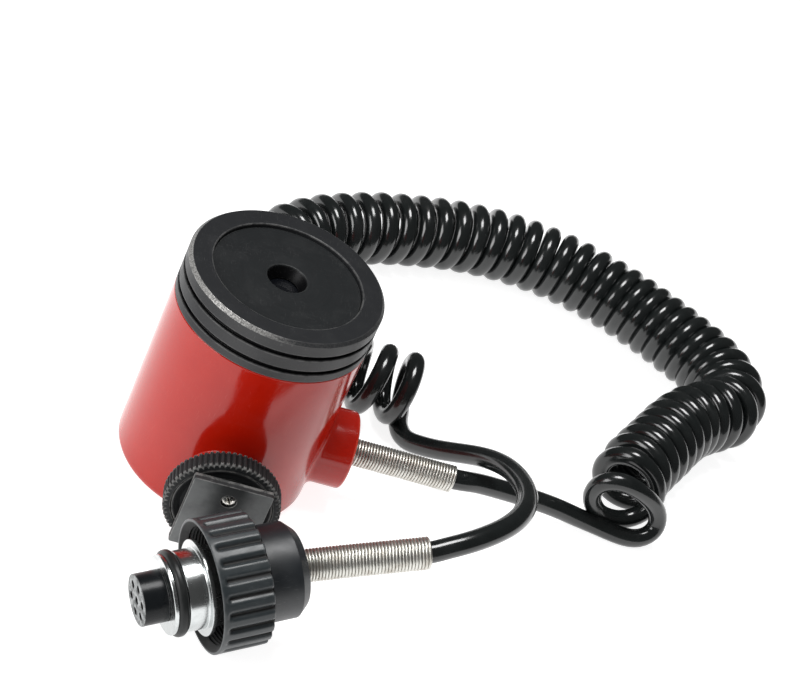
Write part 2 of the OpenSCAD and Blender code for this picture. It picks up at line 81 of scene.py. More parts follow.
PAD_HOLE_R = 1.05

# shoe: distances from the housing's axis, out along its own
SHOE_Z = 13.9
STEM_R = 8.2
STEM_GAP = 0.1
LOCK_BACK = 28.3
LOCK_FACE = 33.0
LOCK_R = 13.5
LOCK_TEETH = 64
TOOTH_DEPTH = 0.55
TOOTH_BAND = 0.9
TOOTH_CREST = 1.7
DISH_R = 11.6
DISH_DEPTH = 1.2
WASHER_R = 11.5
WASHER_BACK = 1.15
WASHER_FACE = 0.8
WASHER_RIM = 0.15
WASHER_RIM_R = 11.0
WASHER_FACE_R = 9.6
NECK_BACK = 33.3
NECK_W = 12.4
NECK_L = 18.0
NECK_ROUND = 0.6
PLATE_BACK = 34.7
PLATE_FACE = 36.7
PLATE_W = 18.6
PLATE_L = 20.6
PLATE_ROUND = 0.5
RECESS_R = 1.8
RECESS_DEPTH = 1.2
SCREW_AT = 5.8
SCREW_HOLE_R = 1.05
SCREW_HEAD_R = 1.6
SCREW_SUNK = 0.22
SCREW_DOME = 0.28
SCREW_R = 1.0
SCREW_L = 10.5
SCREW_TURN = 0.5
CROSS_DEPTH = 0.62
CROSS_REACH = 1.02
CROSS_ARM = 0.26
CROSS_END = 0.16

# cord and springs
CORD_D = 5.1
CURLED_D = 4.75
CORD_LOW = 2.55
CURL_R = 7.7
BOSS_SPRING_WIRE = 0.72
BOSS_SPRING_R = 3.4
BOSS_SPRING_START = 29.3
BOSS_SPRING_END = 57.8
BOSS_SPRING_TURNS = 38
TAIL_SPRING_WIRE = 0.75
TAIL_SPRING_R = 3.8
TAIL_SPRING_TURNS = 42

# plug: distances along its own axis from the nut's mouth, where its FRONT, TIP and
# the insert's neck lie before the mouth and all else behind it
PLUG_TILT = math.radians(12.4)
PLUG_TURN = math.radians(23.3)
PLUG_TIP = 14.7
NUT_R = 15.1
NUT_L = 11.8
NUT_CHAMFER = 0.4
NUT_RIM = 0.75
NUT_RIBS = 24
NUT_MOUTH_R = 14.55
NUT_MOUTH_DEPTH = 1.5
NUT_BORE = 13.15
NUT_BORE_DEPTH = 8.5
NUT_HOLE_R = 9.1
THREAD_R = 13.5
THREAD_STEP = 0.4
THREAD_BACK = 7.2
THREAD_ROWS = 14
FLUTE_BAND = 0.75
FLUTE_DEPTH = 0.8
FLUTE_RUN_IN = 1.3
FLUTE_SHARE = 1.15
BODY_R = 9.0
BODY_FRONT = 8.9
BODY_FRONT_R = 8.95
BODY_BACK = 18.0
BODY_BORE = 7.0
BODY_FLOOR = 2.0
BODY_LIP_R = 5.57
FLANGE_R = 10.74
FLANGE_T = 1.0
ORING_SEAT_R = 7.25
ORING_SEAT = (-8.0, -5.5)
ORING_R = 9.65
BACK_START = 12.1
BACK_L = 7.9
BACK_R = 10.9
BACK_BORE = 9.05
BACK_BORE_END = 18.5
BACK_COLLAR = 18.7
BACK_END_R = 8.9
TAPER_L = 2.3
SEAT_DEPTH = 1.6
SEAT_R = 4.0
INSERT_R = 5.82
INSERT_NECK_R = 5.52
INSERT_NECK = 8.95
CORD_STOP = 16.0
PINS = 6
PIN_CIRCLE_R = 3.6
PIN_HOLE_R = 0.9

# an edge counts as rounded off where its faces are this narrow and turn this far
EDGE_FACE = 0.62
EDGE_TURN = math.radians(16)

PLUG_LIFT = NUT_R * math.cos(PLUG_TILT) - NUT_CHAMFER * math.sin(PLUG_TILT)
PLUG_AT = Vector((-3.5, -60.0, PLUG_LIFT))
PLUG_DIR = Vector((
    math.cos(PLUG_TILT) * math.cos(PLUG_TURN),
    math.cos(PLUG_TILT) * math.sin(PLUG_TURN),
    math.sin(PLUG_TILT),
))

# axes of the parts: local +Z runs along each one
UPRIGHT = Matrix.Identity(4)
SHOE_AXIS = Matrix.Translation((0, 0, SHOE_Z)) @ Matrix.Rotation(math.pi / 2, 4, "X")
PLUG_AXIS = (
    Matrix.Translation(PLUG_AT)
    @ Matrix.Rotation(PLUG_TURN, 4, "Z")
    @ Matrix.Rotation(math.pi / 2 - PLUG_TILT, 4, "Y")
)

# ----------------------------------------------------------------- camera
CAMERA_AT = (-94.615, -427.793, 372.545)
CAMERA_RIGHT = (0.9358815, -0.0070215, 0.3522449)
CAMERA_UP = (-0.2693475, 0.6302269, 0.7281936)
CAMERA_BACK = (-0.2271072, -0.7763792, 0.5879265)
CAMERA_LENS = 106.766


def linked(name, data):
    """A new object in the scene."""
    obj = bpy.data.objects.new(name, data)
    bpy.context.scene.collection.objects.link(obj)
    return obj


def add_camera():
    data = bpy.data.cameras.new("camera")
    data.lens = CAMERA_LENS
    data.sensor_width = 36
    data.clip_start = 0.01
    data.clip_end = 20
    camera = linked("camera", data)
    turn = Matrix((CAMERA_RIGHT, CAMERA_UP, CAMERA_BACK)).transposed().to_4x4()
    camera.matrix_world = Matrix.Translation(Vector(CAMERA_AT) * MM) @ turn
    bpy.context.scene.camera = camera


add_camera()


# ------------------------------------------------------------ small tools
def put(name, mesh_or_curve, body, slot, *replaced):
    """Link a new piece, and say what it rides on and the solids it stands for; its slot is not
    used.
    """
    obj = linked(name, mesh_or_curve)
    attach(obj, body)
    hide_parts(*replaced)
    return obj


def round_angles(count):
    """Even angles once round."""
    return [2 * math.pi * k / count for k in range(count)]


def circle(radius, count, x=0.0, y=0.0):
    """Points of a circle round x, y."""
    return [(x + radius * math.cos(a), y + radius * math.sin(a)) for a in round_angles(count)]


def swept_faces(around, count, skipped=()):
    """Faces between rows of count points that go once round, all rows closed."""
    faces = []
    for k in range(around):
        a, b = k * count, (k + 1) % around * count
        for i in range(count):
            j = (i + 1) % count
            if i not in skipped:
                faces.append((a + i, a + j, b + j, b + i))
    return faces


def new_mesh(name, points, faces, smooth_angle=35.0, axis=UPRIGHT):
    """A mesh from points in mm, shaded smooth up to the given angle between faces.
    "own" keeps each point's place in the piece's own axes, in mm. "edge" says, from
    0 to 1, how much a narrow face's corner lies on a rounded outer edge."""
    mesh = bpy.data.meshes.new(name)
    mesh.from_pydata([tuple(Vector(p) * MM) for p in points], [], faces)
    bm = bmesh.new()
    bm.from_mesh(mesh)
    bmesh.ops.remove_doubles(bm, verts=bm.verts, dist=1e-7)
    bmesh.ops.dissolve_degenerate(bm, edges=bm.edges, dist=1e-8)
    bmesh.ops.recalc_face_normals(bm, faces=bm.faces)
    bm.verts.ensure_lookup_table()
    sharpness = [
        max((e.calc_face_angle_signed(0.0) for e in v.link_edges), default=0.0) for v in bm.verts
    ]
    bm.to_mesh(mesh)
    bm.free()
    mesh.shade_smooth()
    mesh.set_sharp_from_angle(angle=math.radians(smooth_angle))
    edge = mesh.attributes.new("edge", "FLOAT", "CORNER")
    for face in mesh.polygons:
        corners = [mesh.vertices[v].co for v in face.vertices]
        longest = max((a - b).length for a, b in zip(corners, corners[1:] + corners[:1]))
        for loop, vertex in zip(face.loop_indices, face.vertices):
            worth = sharpness[vertex] / EDGE_TURN if longest < EDGE_FACE * MM else 0.0
            edge.data[loop].value = max(0.0, min(1.0, worth))
    back = axis.inverted()
    own = mesh.attributes.new("own", "FLOAT_VECTOR", "POINT")
    for value, vertex in zip(own.data, mesh.vertices):
        value.vector = back @ (vertex.co / MM)
    return mesh


def even_normals(obj):
    """Large faces keep their own normals beside small rounded edges."""
    weighted = obj.modifiers.new("even_normals", "WEIGHTED_NORMAL")
    weighted.keep_sharp = True
    weighted.weight = 90


def eased(outline, steps):
    """Corners (r, s, radius) of a closed outline, each rounded with its own radius.
    A long side gets an extra point just past each rounding."""
    side_share, spare, extra = 0.44, 1.0, 0.3
    points = []
    count = len(outline)
    for i, (r, s, radius) in enumerate(outline):
        here = Vector((r, s))
        before = Vector(outline[i - 1][:2]) - here
        after = Vector(outline[(i + 1) % count][:2]) - here
        if radius <= 0:
            points.append((r, s))
            continue
        u, v = before.normalized(), after.normalized()
        half = math.acos(max(-1, min(1, u.dot(v)))) / 2
        reach = min(radius / math.tan(half), before.length * side_share, after.length * side_share)
        radius = reach * math.tan(half)
        if before.length > reach * 2 + spare:
            points.append(tuple(here + u * (reach + extra)))
        centre = here + (u + v).normalized() * (radius / math.sin(half))
        start = here + u * reach - centre
        sweep = math.pi - 2 * half
        stop = v * reach + here - centre
        turn = 1 if start.x * stop.y - start.y * stop.x > 0 else -1
        for k in range(steps + 1):
            a = turn * sweep * k / steps
            points.append((
                centre.x + start.x * math.cos(a) - start.y * math.sin(a),
                centre.y + start.x * math.sin(a) + start.y * math.cos(a),
            ))
        if after.length > reach * 2 + spare:
            points.append(tuple(here + v * (reach + extra)))
    return points


def turned(name, outline, axis, around, steps, smooth_angle=35.0, radius_at=None):
    """A turned mesh: a closed outline of (r, s, rounding), swept round an axis.
    radius_at(r, s, angle) gives the radius to use in place of r."""
    ring = eased(outline, steps)
    count = len(ring)
    points = []
    for a in round_angles(around):
        for r, s in ring:
            if radius_at:
                r = radius_at(r, s, a)
            points.append(axis @ Vector((r * math.cos(a), r * math.sin(a), s)))
    on_axis = {i for i in range(count) if max(ring[i][0], ring[(i + 1) % count][0]) < 1e-6}
    return new_mesh(name, points, swept_faces(around, count, on_axis), smooth_angle, axis)


def turned_piece(name, node, slot, outline, axis, around, steps, body="housing", even=True, **how):
    """A turned mesh put in place of a node."""
    piece = put(name, turned(name, outline, axis, around, steps, **how), body, slot, node)
    if even:
        even_normals(piece)
    return piece


def mesh_of(curve):
    """A curve turned into a mesh of its own."""
    holder = linked("holder", curve)
    mesh = bpy.data.meshes.new_from_object(holder)
    bpy.data.objects.remove(holder)
    bpy.data.curves.remove(curve)
    return mesh


def plate(name, outline, holes, hole_r, low, high, edge, axis, hole_steps=40):
    """A flat plate of the given outline with round holes of one size, all edges eased."""
    curve = bpy.data.curves.new(name, "CURVE")
    curve.dimensions = "2D"
    curve.fill_mode = "BOTH"
    for loop in [outline] + [circle(hole_r, hole_steps, x, y) for x, y in holes]:
        spline = curve.splines.new("POLY")
        spline.points.add(len(loop) - 1)
        for point, (x, y) in zip(spline.points, loop):
            point.co = (x, y, 0, 1)
        spline.use_cyclic_u = True
    curve.extrude = (high - low) / 2 - edge
    curve.bevel_depth = edge
    curve.bevel_resolution = 2
    curve.offset = -edge
    mesh = mesh_of(curve)
    move = axis @ Matrix.Translation((0, 0, (low + high) / 2))
    points = [move @ v.co for v in mesh.vertices]
    faces = [tuple(p.vertices) for p in mesh.polygons]
    bpy.data.meshes.remove(mesh)
    return new_mesh(name, points, faces, axis=axis)


def rounded_box_outline(w, h, r, steps=6, longest=0.55):
    """A w by h rectangle with rounded corners, its sides in short steps."""
    points = []
    for cx, cy, start in ((1, 1, 0), (-1, 1, 90), (-1, -1, 180), (1, -1, 270)):
        for k in range(steps + 1):
            a = math.radians(start + 90 * k / steps)
            points.append((cx * (w / 2 - r) + r * math.cos(a), cy * (h / 2 - r) + r * math.sin(a)))
    outline = []
    for a, b in zip(points, points[1:] + points[:1]):
        pieces = max(1, math.ceil(math.dist(a, b) / longest))
        outline += [(a[0] + (b[0] - a[0]) * k / pieces, a[1] + (b[1] - a[1]) * k / pieces)
                    for k in range(pieces)]
    return outline


def joined(name, meshes):
    """One mesh out of several."""
    bm = bmesh.new()
    for mesh in meshes:
        bm.from_mesh(mesh)
        bpy.data.meshes.remove(mesh)
    whole = bpy.data.meshes.new(name)
    bm.to_mesh(whole)
    bm.free()
    return whole


def joined_piece(name, node, slot, meshes, even=True):
    """Several meshes put in place of a node as one piece."""
    piece = put(name, joined(name, meshes), "housing", slot, node)
    if even:
        even_normals(piece)
    return piece


def tube_curve(name, points, radii, sides, smooth):
    """A round tube of the given radii along points in mm, as one open spline."""
    curve = bpy.data.curves.new(name, "CURVE")
    curve.dimensions = "3D"
    curve.bevel_depth = 1.0
    curve.bevel_resolution = sides
    curve.use_fill_caps = True
    spline = curve.splines.new("NURBS" if smooth else "POLY")
    spline.points.add(len(points) - 1)
    last = len(points) - 1
    for i, point in enumerate(spline.points):
        here = Vector(points[i])
        if smooth and 0 < i < last:
            here = here - (Vector(points[i - 1]) + Vector(points[i + 1]) - 2 * here) / 6
        point.co = (*(here * MM), 1)
        point.radius = radii[i] * MM
    if smooth:
        spline.order_u = 4
        spline.use_endpoint_u = True
        spline.resolution_u = 4
    spline.use_smooth = True
    return curve


# --------------------------------------------------------- cord and route
BOSS_LEAD = [
    (63.2, 1.8, 12), (69.5, 3.8, 10.5), (76.7, 6, 8.5), (83.7, 7.9, 6.6),
    (90.2, 9.1, 4.9), (95.3, 9.5, 3.6),
]
FIRST_CURL = [
    (101.5, 9.5, 2.6), (107.6, 8.3, 2.5), (112.8, 8.9, 2.8), (116.1, 10.9, 5.3), (115.3, 12.1, 9.3),
    (111.6, 11.6, 13.2), (106.4, 10.4, 16.6), (101.2, 10.1, 17.9), (97.4, 10.8, 15.6),
    (96.6, 11.6, 11.3), (98.4, 12.3, 7), (102.2, 12.9, 3.7), (107.2, 14.2, 2.6),
    (111.4, 15.4, 3.6), (114.6, 16.8, 7.2), (114.8, 18, 11.6), (111.8, 19.3, 15.8),
]
COIL_ROUTE = [
    (105.2, 14), (107.3, 20.2), (110.6, 26.6), (114, 32), (118, 38), (122.6, 45), (127.6, 51.2),
    (133.2, 55.8), (139, 60.2), (141.9, 66.4), (141, 72.8), (136.8, 79.4), (129.4, 85.8),
    (119.5, 93), (107, 100), (91.5, 105.2), (73, 106.4), (53, 102.5), (33, 94.5), (16.5, 83),
    (6.5, 67.5), (7, 51.5), (17.5, 40), (31.5, 33.5), (46.5, 32),
]
ROUTE_LEAD_IN = 6.55
CURL_STEPS = [
    6.6, 5.8, 5.2, 5.2, 5.1, 5.1, 5, 5, 5.1, 5.3, 5.4, 5, 4.7, 4.5, 4.4, 4.4, 4.4, 4.4, 4.5,
]
FAR_CURLS = 32
PLUG_LEAD = [
    (47.5, 26.6, 2.6), (49.1, 21.8, 3.1), (51.7, 18.6, 5.1), (54.5, 15.5, 7.6),
    (57.5, 12.4, 10.6), (60.5, 9.3, 13.8), (63.3, 6, 17), (65.8, 2.1, 20.1),
    (67.9, -2.6, 23), (69.4, -8.5, 25.7), (69.9, -16, 28.4), (68.6, -23.5, 30.3),
    (65.7, -29.8, 31.2), (62.1, -34.4, 31.5), (58.4, -37.7, 31.2), (54.9, -40.2, 30.7),
    (51.6, -42, 29.9), (48.3, -43.5, 29),
]
TAIL_SPRING_FAR = Vector((45, -44.8, 27.8))


def smooth_line(points, steps):
    """A smooth line through given points."""
    points = [Vector(p) for p in points]
    line = []
    for i in range(len(points) - 1):
        a, b, c = points[max(i - 1, 0)], points[i], points[i + 1]
        d = points[min(i + 2, len(points) - 1)]
        for k in range(steps):
            t = k / steps
            line.append(0.5 * (
                2 * b + (c - a) * t + (2 * a - 5 * b + 4 * c - d) * t * t
                + (3 * b - a - 3 * c + d) * t ** 3
            ))
    return line + [points[-1]]


class Route:
    """A line through points, read by the length run along it."""

    def __init__(self, points):
        self.points = [Vector(p) for p in points]
        self.marks = [0.0]
        for a, b in zip(self.points, self.points[1:]):
            self.marks.append(self.marks[-1] + (b - a).length)
        self.length = self.marks[-1]

    def at(self, s):
        s = max(0.0, min(self.length, s))
        low = min(bisect.bisect_right(self.marks, s), len(self.marks) - 1) - 1
        t = (s - self.marks[low]) / (self.marks[low + 1] - self.marks[low])
        return self.points[low].lerp(self.points[low + 1], t)

    def frame(self, s, reach):
        """The ways ahead, right and up at s, taken over reach to either side."""
        ahead = (self.at(s + reach) - self.at(s - reach)).normalized()
        right = ahead.cross(Vector((0, 0, 1))).normalized()
        return ahead, right, right.cross(ahead)


def wound(angle, radius, right, up):
    """From the middle line to a wound tube, at an angle counted from straight down."""
    return radius * (math.sin(angle) * right - math.cos(angle) * up)


def coil_points(per_turn=14):
    """The curly part of the cord after its first curl, whose points are given one by one."""
    turn_reach, wander_by, sway_by, way_out = 6.0, 0.1, 0.2, 3.0
    route = Route(smooth_line([(*q, CORD_LOW + CURL_R) for q in COIL_ROUTE], 16))
    places = [ROUTE_LEAD_IN]
    for step in CURL_STEPS:
        places.append(places[-1] + step)
    near, first, rest = places[-1], CURL_STEPS[-1], route.length - places[-1]
    for k in range(1, FAR_CURLS + 1):
        share = (k / FAR_CURLS) ** 2
        places.append(near + first * k + (rest - first * FAR_CURLS) * share)
    points = []
    for k, step in enumerate(smooth_line([(p, 0, 0) for p in places], per_turn)):
        angle = math.pi + 2 * math.pi * k / per_turn
        ahead, right, up = route.frame(step.x, turn_reach)
        calm = min(1.0, k / per_turn / 2)
        wander = noise.noise(Vector((angle / 9.0, 3.1, 0.0)))
        sway = noise.noise(Vector((angle / 13.0, 8.7, 2.0)))
        points.append(
            route.at(step.x) + wound(angle, CURL_R, right, up)
            + calm * (ahead * wander_by * wander + right * sway_by * sway)
        )
    # the last half curl brings the cord down to the table again
    for k in range(1, per_turn // 2 + 1):
        angle = math.pi + 2 * math.pi * k / per_turn
        middle = route.at(route.length) + ahead * way_out * k / per_turn
        points.append(middle + wound(angle, CURL_R, right, up))
    return points


def tail_spring_line(t):
    """Middle line of the plug's spring, t from the backshell to the free end."""
    a = PLUG_AT + (BACK_START + BACK_L + TAPER_L - SEAT_DEPTH) * PLUG_DIR
    d = TAIL_SPRING_FAR
    b = a + (d - a).length / 6 * PLUG_DIR
    c = d - (d - a) / 3
    return (1 - t) ** 3 * a + 3 * t * (1 - t) ** 2 * b + 3 * t * t * (1 - t) * c + t ** 3 * d


coil = coil_points()
lead_in = [(x, 0, BOSS_Z) for x in (14, 29.1, 43.8, BOSS_SPRING_END)] + BOSS_LEAD
lead_out = PLUG_LEAD + [tail_spring_line(1 - k / 5) for k in range(6)] + [
    PLUG_AT + CORD_STOP * PLUG_DIR]
cord_path = lead_in + FIRST_CURL + coil + lead_out
plain_r, curled_r = CORD_D / 2, CURLED_D / 2
# the cord thins by steps where it starts to curl
cord_radii = (
    [plain_r] * (len(lead_in) - 1) + [plain_r * 0.98, plain_r * 0.95]
    + [curled_r] * (len(FIRST_CURL) + len(coil) - 2) + [plain_r * 0.97] + [plain_r] * len(lead_out)
)
cord_curve = tube_curve("curly_cord", cord_path, cord_radii, 5, True)
cord = put("curly_cord", cord_curve, "housing", "cord_black",
           "housing_lead", "coil_cord", "plug_lead")


def line_length(curve):
    """Length in metres along the middle of a tube."""
    bare = curve.copy()
    bare.bevel_depth = 0
    mesh = mesh_of(bare)
    ends = [[mesh.vertices[v].co for v in edge.vertices] for edge in mesh.edges]
    total = sum((a - b).length for a, b in ends)
    bpy.data.meshes.remove(mesh)
    return total


CORD_LENGTH = line_length(cord_curve)


# ------------------------------------------------------------------ springs
def wound_spring(name, node, line, radius, turns, wire, per_turn=20):
    """A close-wound spring round the cord."""
    route = Route(line)
    pitch = route.length / turns
    turn_reach = pitch * 0.52 / (2 * math.pi)
    points = []
    for k in range(turns * per_turn + 1):
        s = pitch * k / per_turn
        _, right, up = route.frame(s, turn_reach)
        points.append(route.at(s) + wound(2 * math.pi * k / per_turn, radius - wire / 2, right, up))
    curve = tube_curve(name, points, [wire / 2] * len(points), 2, False)
    return put(name, curve, "housing", "steel", node)


boss_line = [(x, 0, BOSS_Z) for x in (BOSS_SPRING_START, BOSS_SPRING_END)]
boss_spring = wound_spring("boss_spring", "housing_spring", boss_line,
                           BOSS_SPRING_R, BOSS_SPRING_TURNS, BOSS_SPRING_WIRE)
tail_line = [tail_spring_line(0.01 + 0.99 * k / 30) for k in range(31)]
tail_spring = wound_spring("tail_spring", "plug_spring", tail_line,
                           TAIL_SPRING_R, TAIL_SPRING_TURNS, TAIL_SPRING_WIRE)


# ------------------------------------------------------------------ housing
def boss_blend(radius, end, height, blend, hole, edge, toward=UPRIGHT):
    """A round boss with a rolled fillet at its root on the round housing.
    toward turns the boss's own plan, drawn along +X, to where it stands."""
    around, fillet_steps, edge_steps = 160, 8, 5
    root, skirt = 8, 1.2
    rows = []
    for a in round_angles(around):
        side, rise = math.cos(a), math.sin(a)
        ball_y, ball_z = (radius + blend) * side, (radius + blend) * rise
        ball = Vector((math.sqrt((SHELL_R + blend) ** 2 - ball_y ** 2), ball_y, ball_z))
        out = Vector((ball.x, ball.y, 0)).normalized()
        to_boss = Vector((0, -side, -rise))
        row = [Vector((x, hole * side, hole * rise)) for x in (end - root, end)]
        for e in range(edge_steps + 1):
            t = math.pi / 2 * e / edge_steps
            r = radius - edge + edge * math.sin(t)
            row.append(Vector((end - edge + edge * math.cos(t), r * side, r * rise)))
        for f in range(fillet_steps + 1):
            row.append(ball + blend * to_boss.slerp(-out, f / fillet_steps))
        row.append(row[-1] - out * skirt)
        row.append(Vector((end - root, (radius - 1) * side, (radius - 1) * rise)))
        rows.append([toward @ (p + Vector((0, 0, height))) for p in row])
    return new_mesh("boss", [p for row in rows for p in row], swept_faces(around, len(rows[0])))


def make_shell():
    """The red housing with its cord boss and the pad under the shoe."""
    inner = SHELL_R - SHELL_WALL
    barrel = turned("barrel", [
        (0, 0, 0), (SHELL_R, 0, SHELL_ROUND), (SHELL_R, SHELL_H, 0.25), (inner, SHELL_H, 0.2),
        (inner, FLOOR_T, 1.0), (0, FLOOR_T, 0),
    ], UPRIGHT, 256, 7)
    boss = boss_blend(BOSS_R, BOSS_END, BOSS_Z, blend=1.6, hole=BOSS_HOLE_R, edge=0.8)
    pad = boss_blend(PAD_R, PAD_FACE, SHOE_Z, blend=0.25, hole=PAD_HOLE_R, edge=0.5,
                     toward=Matrix.Rotation(-math.pi / 2, 4, "Z"))
    return joined_piece("shell_skin", "housing_shell", "red_plastic", [barrel, boss, pad])


def make_front():
    """The grooved ring, the disc with its sensor cone, and the window below."""
    bottom, root = SHELL_H + RING_GAP, SHELL_R - GROOVE_DEPTH
    outline = [(RING_BORE, RING_SLEEVE_END, 0.1), (RING_SLEEVE_R, RING_SLEEVE_END, 0.2),
               (RING_SLEEVE_R, bottom, 0), (SHELL_R, bottom, 0.25)]
    for z in GROOVES:
        low, high = z - GROOVE_W / 2, z + GROOVE_W / 2
        outline += [(SHELL_R, low, 0.22), (root, low, 0.12),
                    (root, high, 0.12), (SHELL_R, high, 0.22)]
    outline += [(SHELL_R, RING_TOP - RING_CHAMFER, 0.16), (SHELL_R - RING_CHAMFER, RING_TOP, 0.16),
                (FACE_HOLE_R, RING_TOP, 0.3), (FACE_HOLE_R, RING_LEDGE, 0),
                (RING_BORE, RING_LEDGE, 0)]
    ring = turned_piece("front_ring_skin", "front_ring", "black_aluminium", outline,
                        UPRIGHT, 256, 4)
    disc = turned_piece("front_disc_skin", "front_disc", "black_aluminium", [
        (LENS_SEAT_R, DISC_BACK, 0), (DISC_R, DISC_BACK, 0.1), (DISC_R, DISC_SHOULDER, 0.05),
        (DISC_FACE_R, DISC_SHOULDER, 0), (DISC_FACE_R, DISC_TOP, 0.25), (CONE_R, DISC_TOP, 0.3),
        (CONE_END_R, LENS_SEAT, 0.05), (LENS_SEAT_R, LENS_SEAT, 0),
    ], UPRIGHT, 256, 4)
    lens = turned_piece("window_skin", "window_lens", "window_glass", [
        (0, LENS_BACK, 0), (LENS_R, LENS_BACK, 0.1), (LENS_R, LENS_EDGE, 0.1),
        (5.0, 53.7, 1.0), (2.5, 54.05, 3.0), (0, LENS_TOP, 0),
    ], UPRIGHT, 96, 6, even=False, smooth_angle=60)
    return ring, disc, lens


# --------------------------------------------------------------------- shoe
def toothed_radius(r, s, a):
    """Straight teeth on the outside of the locking ring."""
    if r < LOCK_R - TOOTH_BAND:
        return r
    phase = (a * LOCK_TEETH / (2 * math.pi)) % 1.0
    tooth = 0.5 + 0.5 * math.cos(2 * math.pi * phase)
    return r - TOOTH_DEPTH * (1 - min(1.0, tooth * TOOTH_CREST))


def make_shoe():
    """The locking ring, its washer and stem, and the foot with its screws."""
    bore, dish = STEM_R + STEM_GAP, LOCK_FACE - DISH_DEPTH
    ring = turned_piece("lock_ring_skin", "lock_ring", "shoe_black", [
        (bore, LOCK_BACK, 0.2), (LOCK_R, LOCK_BACK, 0.45), (LOCK_R, LOCK_FACE, 0.45),
        (DISH_R, LOCK_FACE, 0.2), (DISH_R, dish, 0.1), (bore, dish, 0.1),
    ], SHOE_AXIS, LOCK_TEETH * 12, 4, "ring", False, smooth_angle=50, radius_at=toothed_radius)
    back, face, rim = (LOCK_FACE - d for d in (WASHER_BACK, WASHER_FACE, WASHER_RIM))
    washer = turned_piece("washer_skin", "lock_washer", "shoe_black", [
        (bore, back, 0.1), (WASHER_R, back, 0.1), (WASHER_R, rim, 0.1), (WASHER_RIM_R, rim, 0.1),
        (WASHER_FACE_R, face, 0.4), (bore, face, 0.1),
    ], SHOE_AXIS, 128, 3, "washer")
    stem = turned_piece("stem_skin", "shoe_stem", "shoe_black", [
        (0, PAD_FACE, 0), (STEM_R, PAD_FACE, 0.1), (STEM_R, NECK_BACK, 0.2), (0, NECK_BACK, 0),
    ], SHOE_AXIS, 96, 3)
    holes = [(0, SCREW_AT), (0, -SCREW_AT)]
    floor = PLATE_FACE - RECESS_DEPTH
    whole = rounded_box_outline(PLATE_W, PLATE_L, PLATE_ROUND)
    layers = [
        plate("foot_face", whole, holes, RECESS_R, floor, PLATE_FACE, 0.14, SHOE_AXIS),
        plate("foot_back", whole, holes, SCREW_HOLE_R, PLATE_BACK, floor + 0.001, 0.1, SHOE_AXIS),
        plate("foot_neck", rounded_box_outline(NECK_W, NECK_L, NECK_ROUND), holes, RECESS_R,
              NECK_BACK, PLATE_BACK + 0.05, 0.12, SHOE_AXIS),
    ]
    foot = joined_piece("foot_skin", "shoe_foot", "shoe_black", layers)
    screws = joined_piece("screws_skin", "foot_screws", "steel", [screw_mesh(1), screw_mesh(-1)],
                          even=False)
    return ring, washer, stem, foot, screws


def screw_mesh(side):
    """A cross-head screw in its recess."""
    rings, around = 14, 64
    top, low = PLATE_FACE - SCREW_SUNK, PLATE_FACE - RECESS_DEPTH
    turn = Matrix.Rotation(SCREW_TURN * side, 4, "Z")
    place = SHOE_AXIS @ Matrix.Translation((0, side * SCREW_AT, 0)) @ turn
    points, faces = [(0, 0, top - CROSS_DEPTH)], []
    for i in range(1, rings + 1):
        r = SCREW_HEAD_R * i / rings
        dome = top - SCREW_DOME * (r / SCREW_HEAD_R) ** 2
        for x, y in circle(r, around):
            arm, reach = sorted((abs(x), abs(y)))
            cut = max(0.0, 1 - arm / CROSS_ARM) if reach < CROSS_REACH - 0.04 else 0.0
            cut = min(1.0, cut * 2.2) * min(1.0, max(0.0, (CROSS_REACH - reach) / CROSS_END))
            points.append((x, y, dome - CROSS_DEPTH * cut))
    shank = [(SCREW_HEAD_R, low), (SCREW_R, low), (SCREW_R, low - SCREW_L), (0.0, low - SCREW_L)]
    for r, s in shank:
        points += [(x, y, s) for x, y in circle(r, around)]
    for k in range(around):
        j = (k + 1) % around
        faces.append((0, 1 + k, 1 + j))
        for i in range(rings - 1 + len(shank)):
            a = 1 + i * around
            faces.append((a + k, a + around + k, a + around + j, a + j))
    return new_mesh("screw", [place @ Vector(p) for p in points], faces, 40, place)


# --------------------------------------------------------------------- plug
def flute_cut(r, s, a):
    """Rounded grooves between the nut's slightly crowned ribs, behind its smooth rim."""
    if r < NUT_R - FLUTE_BAND or s < NUT_RIM:
        return r
    phase = (a * NUT_RIBS / (2 * math.pi)) % 1.0
    away = abs(phase - 0.5) / 0.5
    run_in = min(1.0, max(0.0, (s - NUT_RIM) / FLUTE_RUN_IN))
    run_in *= run_in * (3 - 2 * run_in)
    depth = FLUTE_DEPTH * (0.5 + 0.5 * math.cos(math.pi * min(1.0, away * FLUTE_SHARE))) ** 2
    return r - depth * run_in


def make_nut():
    """The ribbed coupling nut, threaded inside its mouth."""
    levels = (NUT_RIM, 0.95, 1.15, 1.35, 1.55, 1.75, 1.95, 2.2, 4.0, 6.5, 9.0)
    thread = [((NUT_BORE, THREAD_R)[k % 2], THREAD_BACK - THREAD_STEP * k, 0)
              for k in range(THREAD_ROWS)]
    outline = [(NUT_BORE, NUT_MOUTH_DEPTH, 0.2), (NUT_MOUTH_R, 0, 0.12), (NUT_R, 0, 0.3)]
    outline += [(NUT_R - 0.02, s, 0) for s in levels]
    outline += [(NUT_R - 0.1, NUT_L, 0.4), (NUT_HOLE_R, NUT_L, 0.2),
                (NUT_HOLE_R, NUT_BORE_DEPTH, 0.2), (NUT_BORE, NUT_BORE_DEPTH, 0.3)]
    return turned_piece("nut_skin", "plug_nut", "black_plastic", outline + thread, PLUG_AXIS,
                        NUT_RIBS * 26, 4, "nut", False, smooth_angle=40, radius_at=flute_cut)


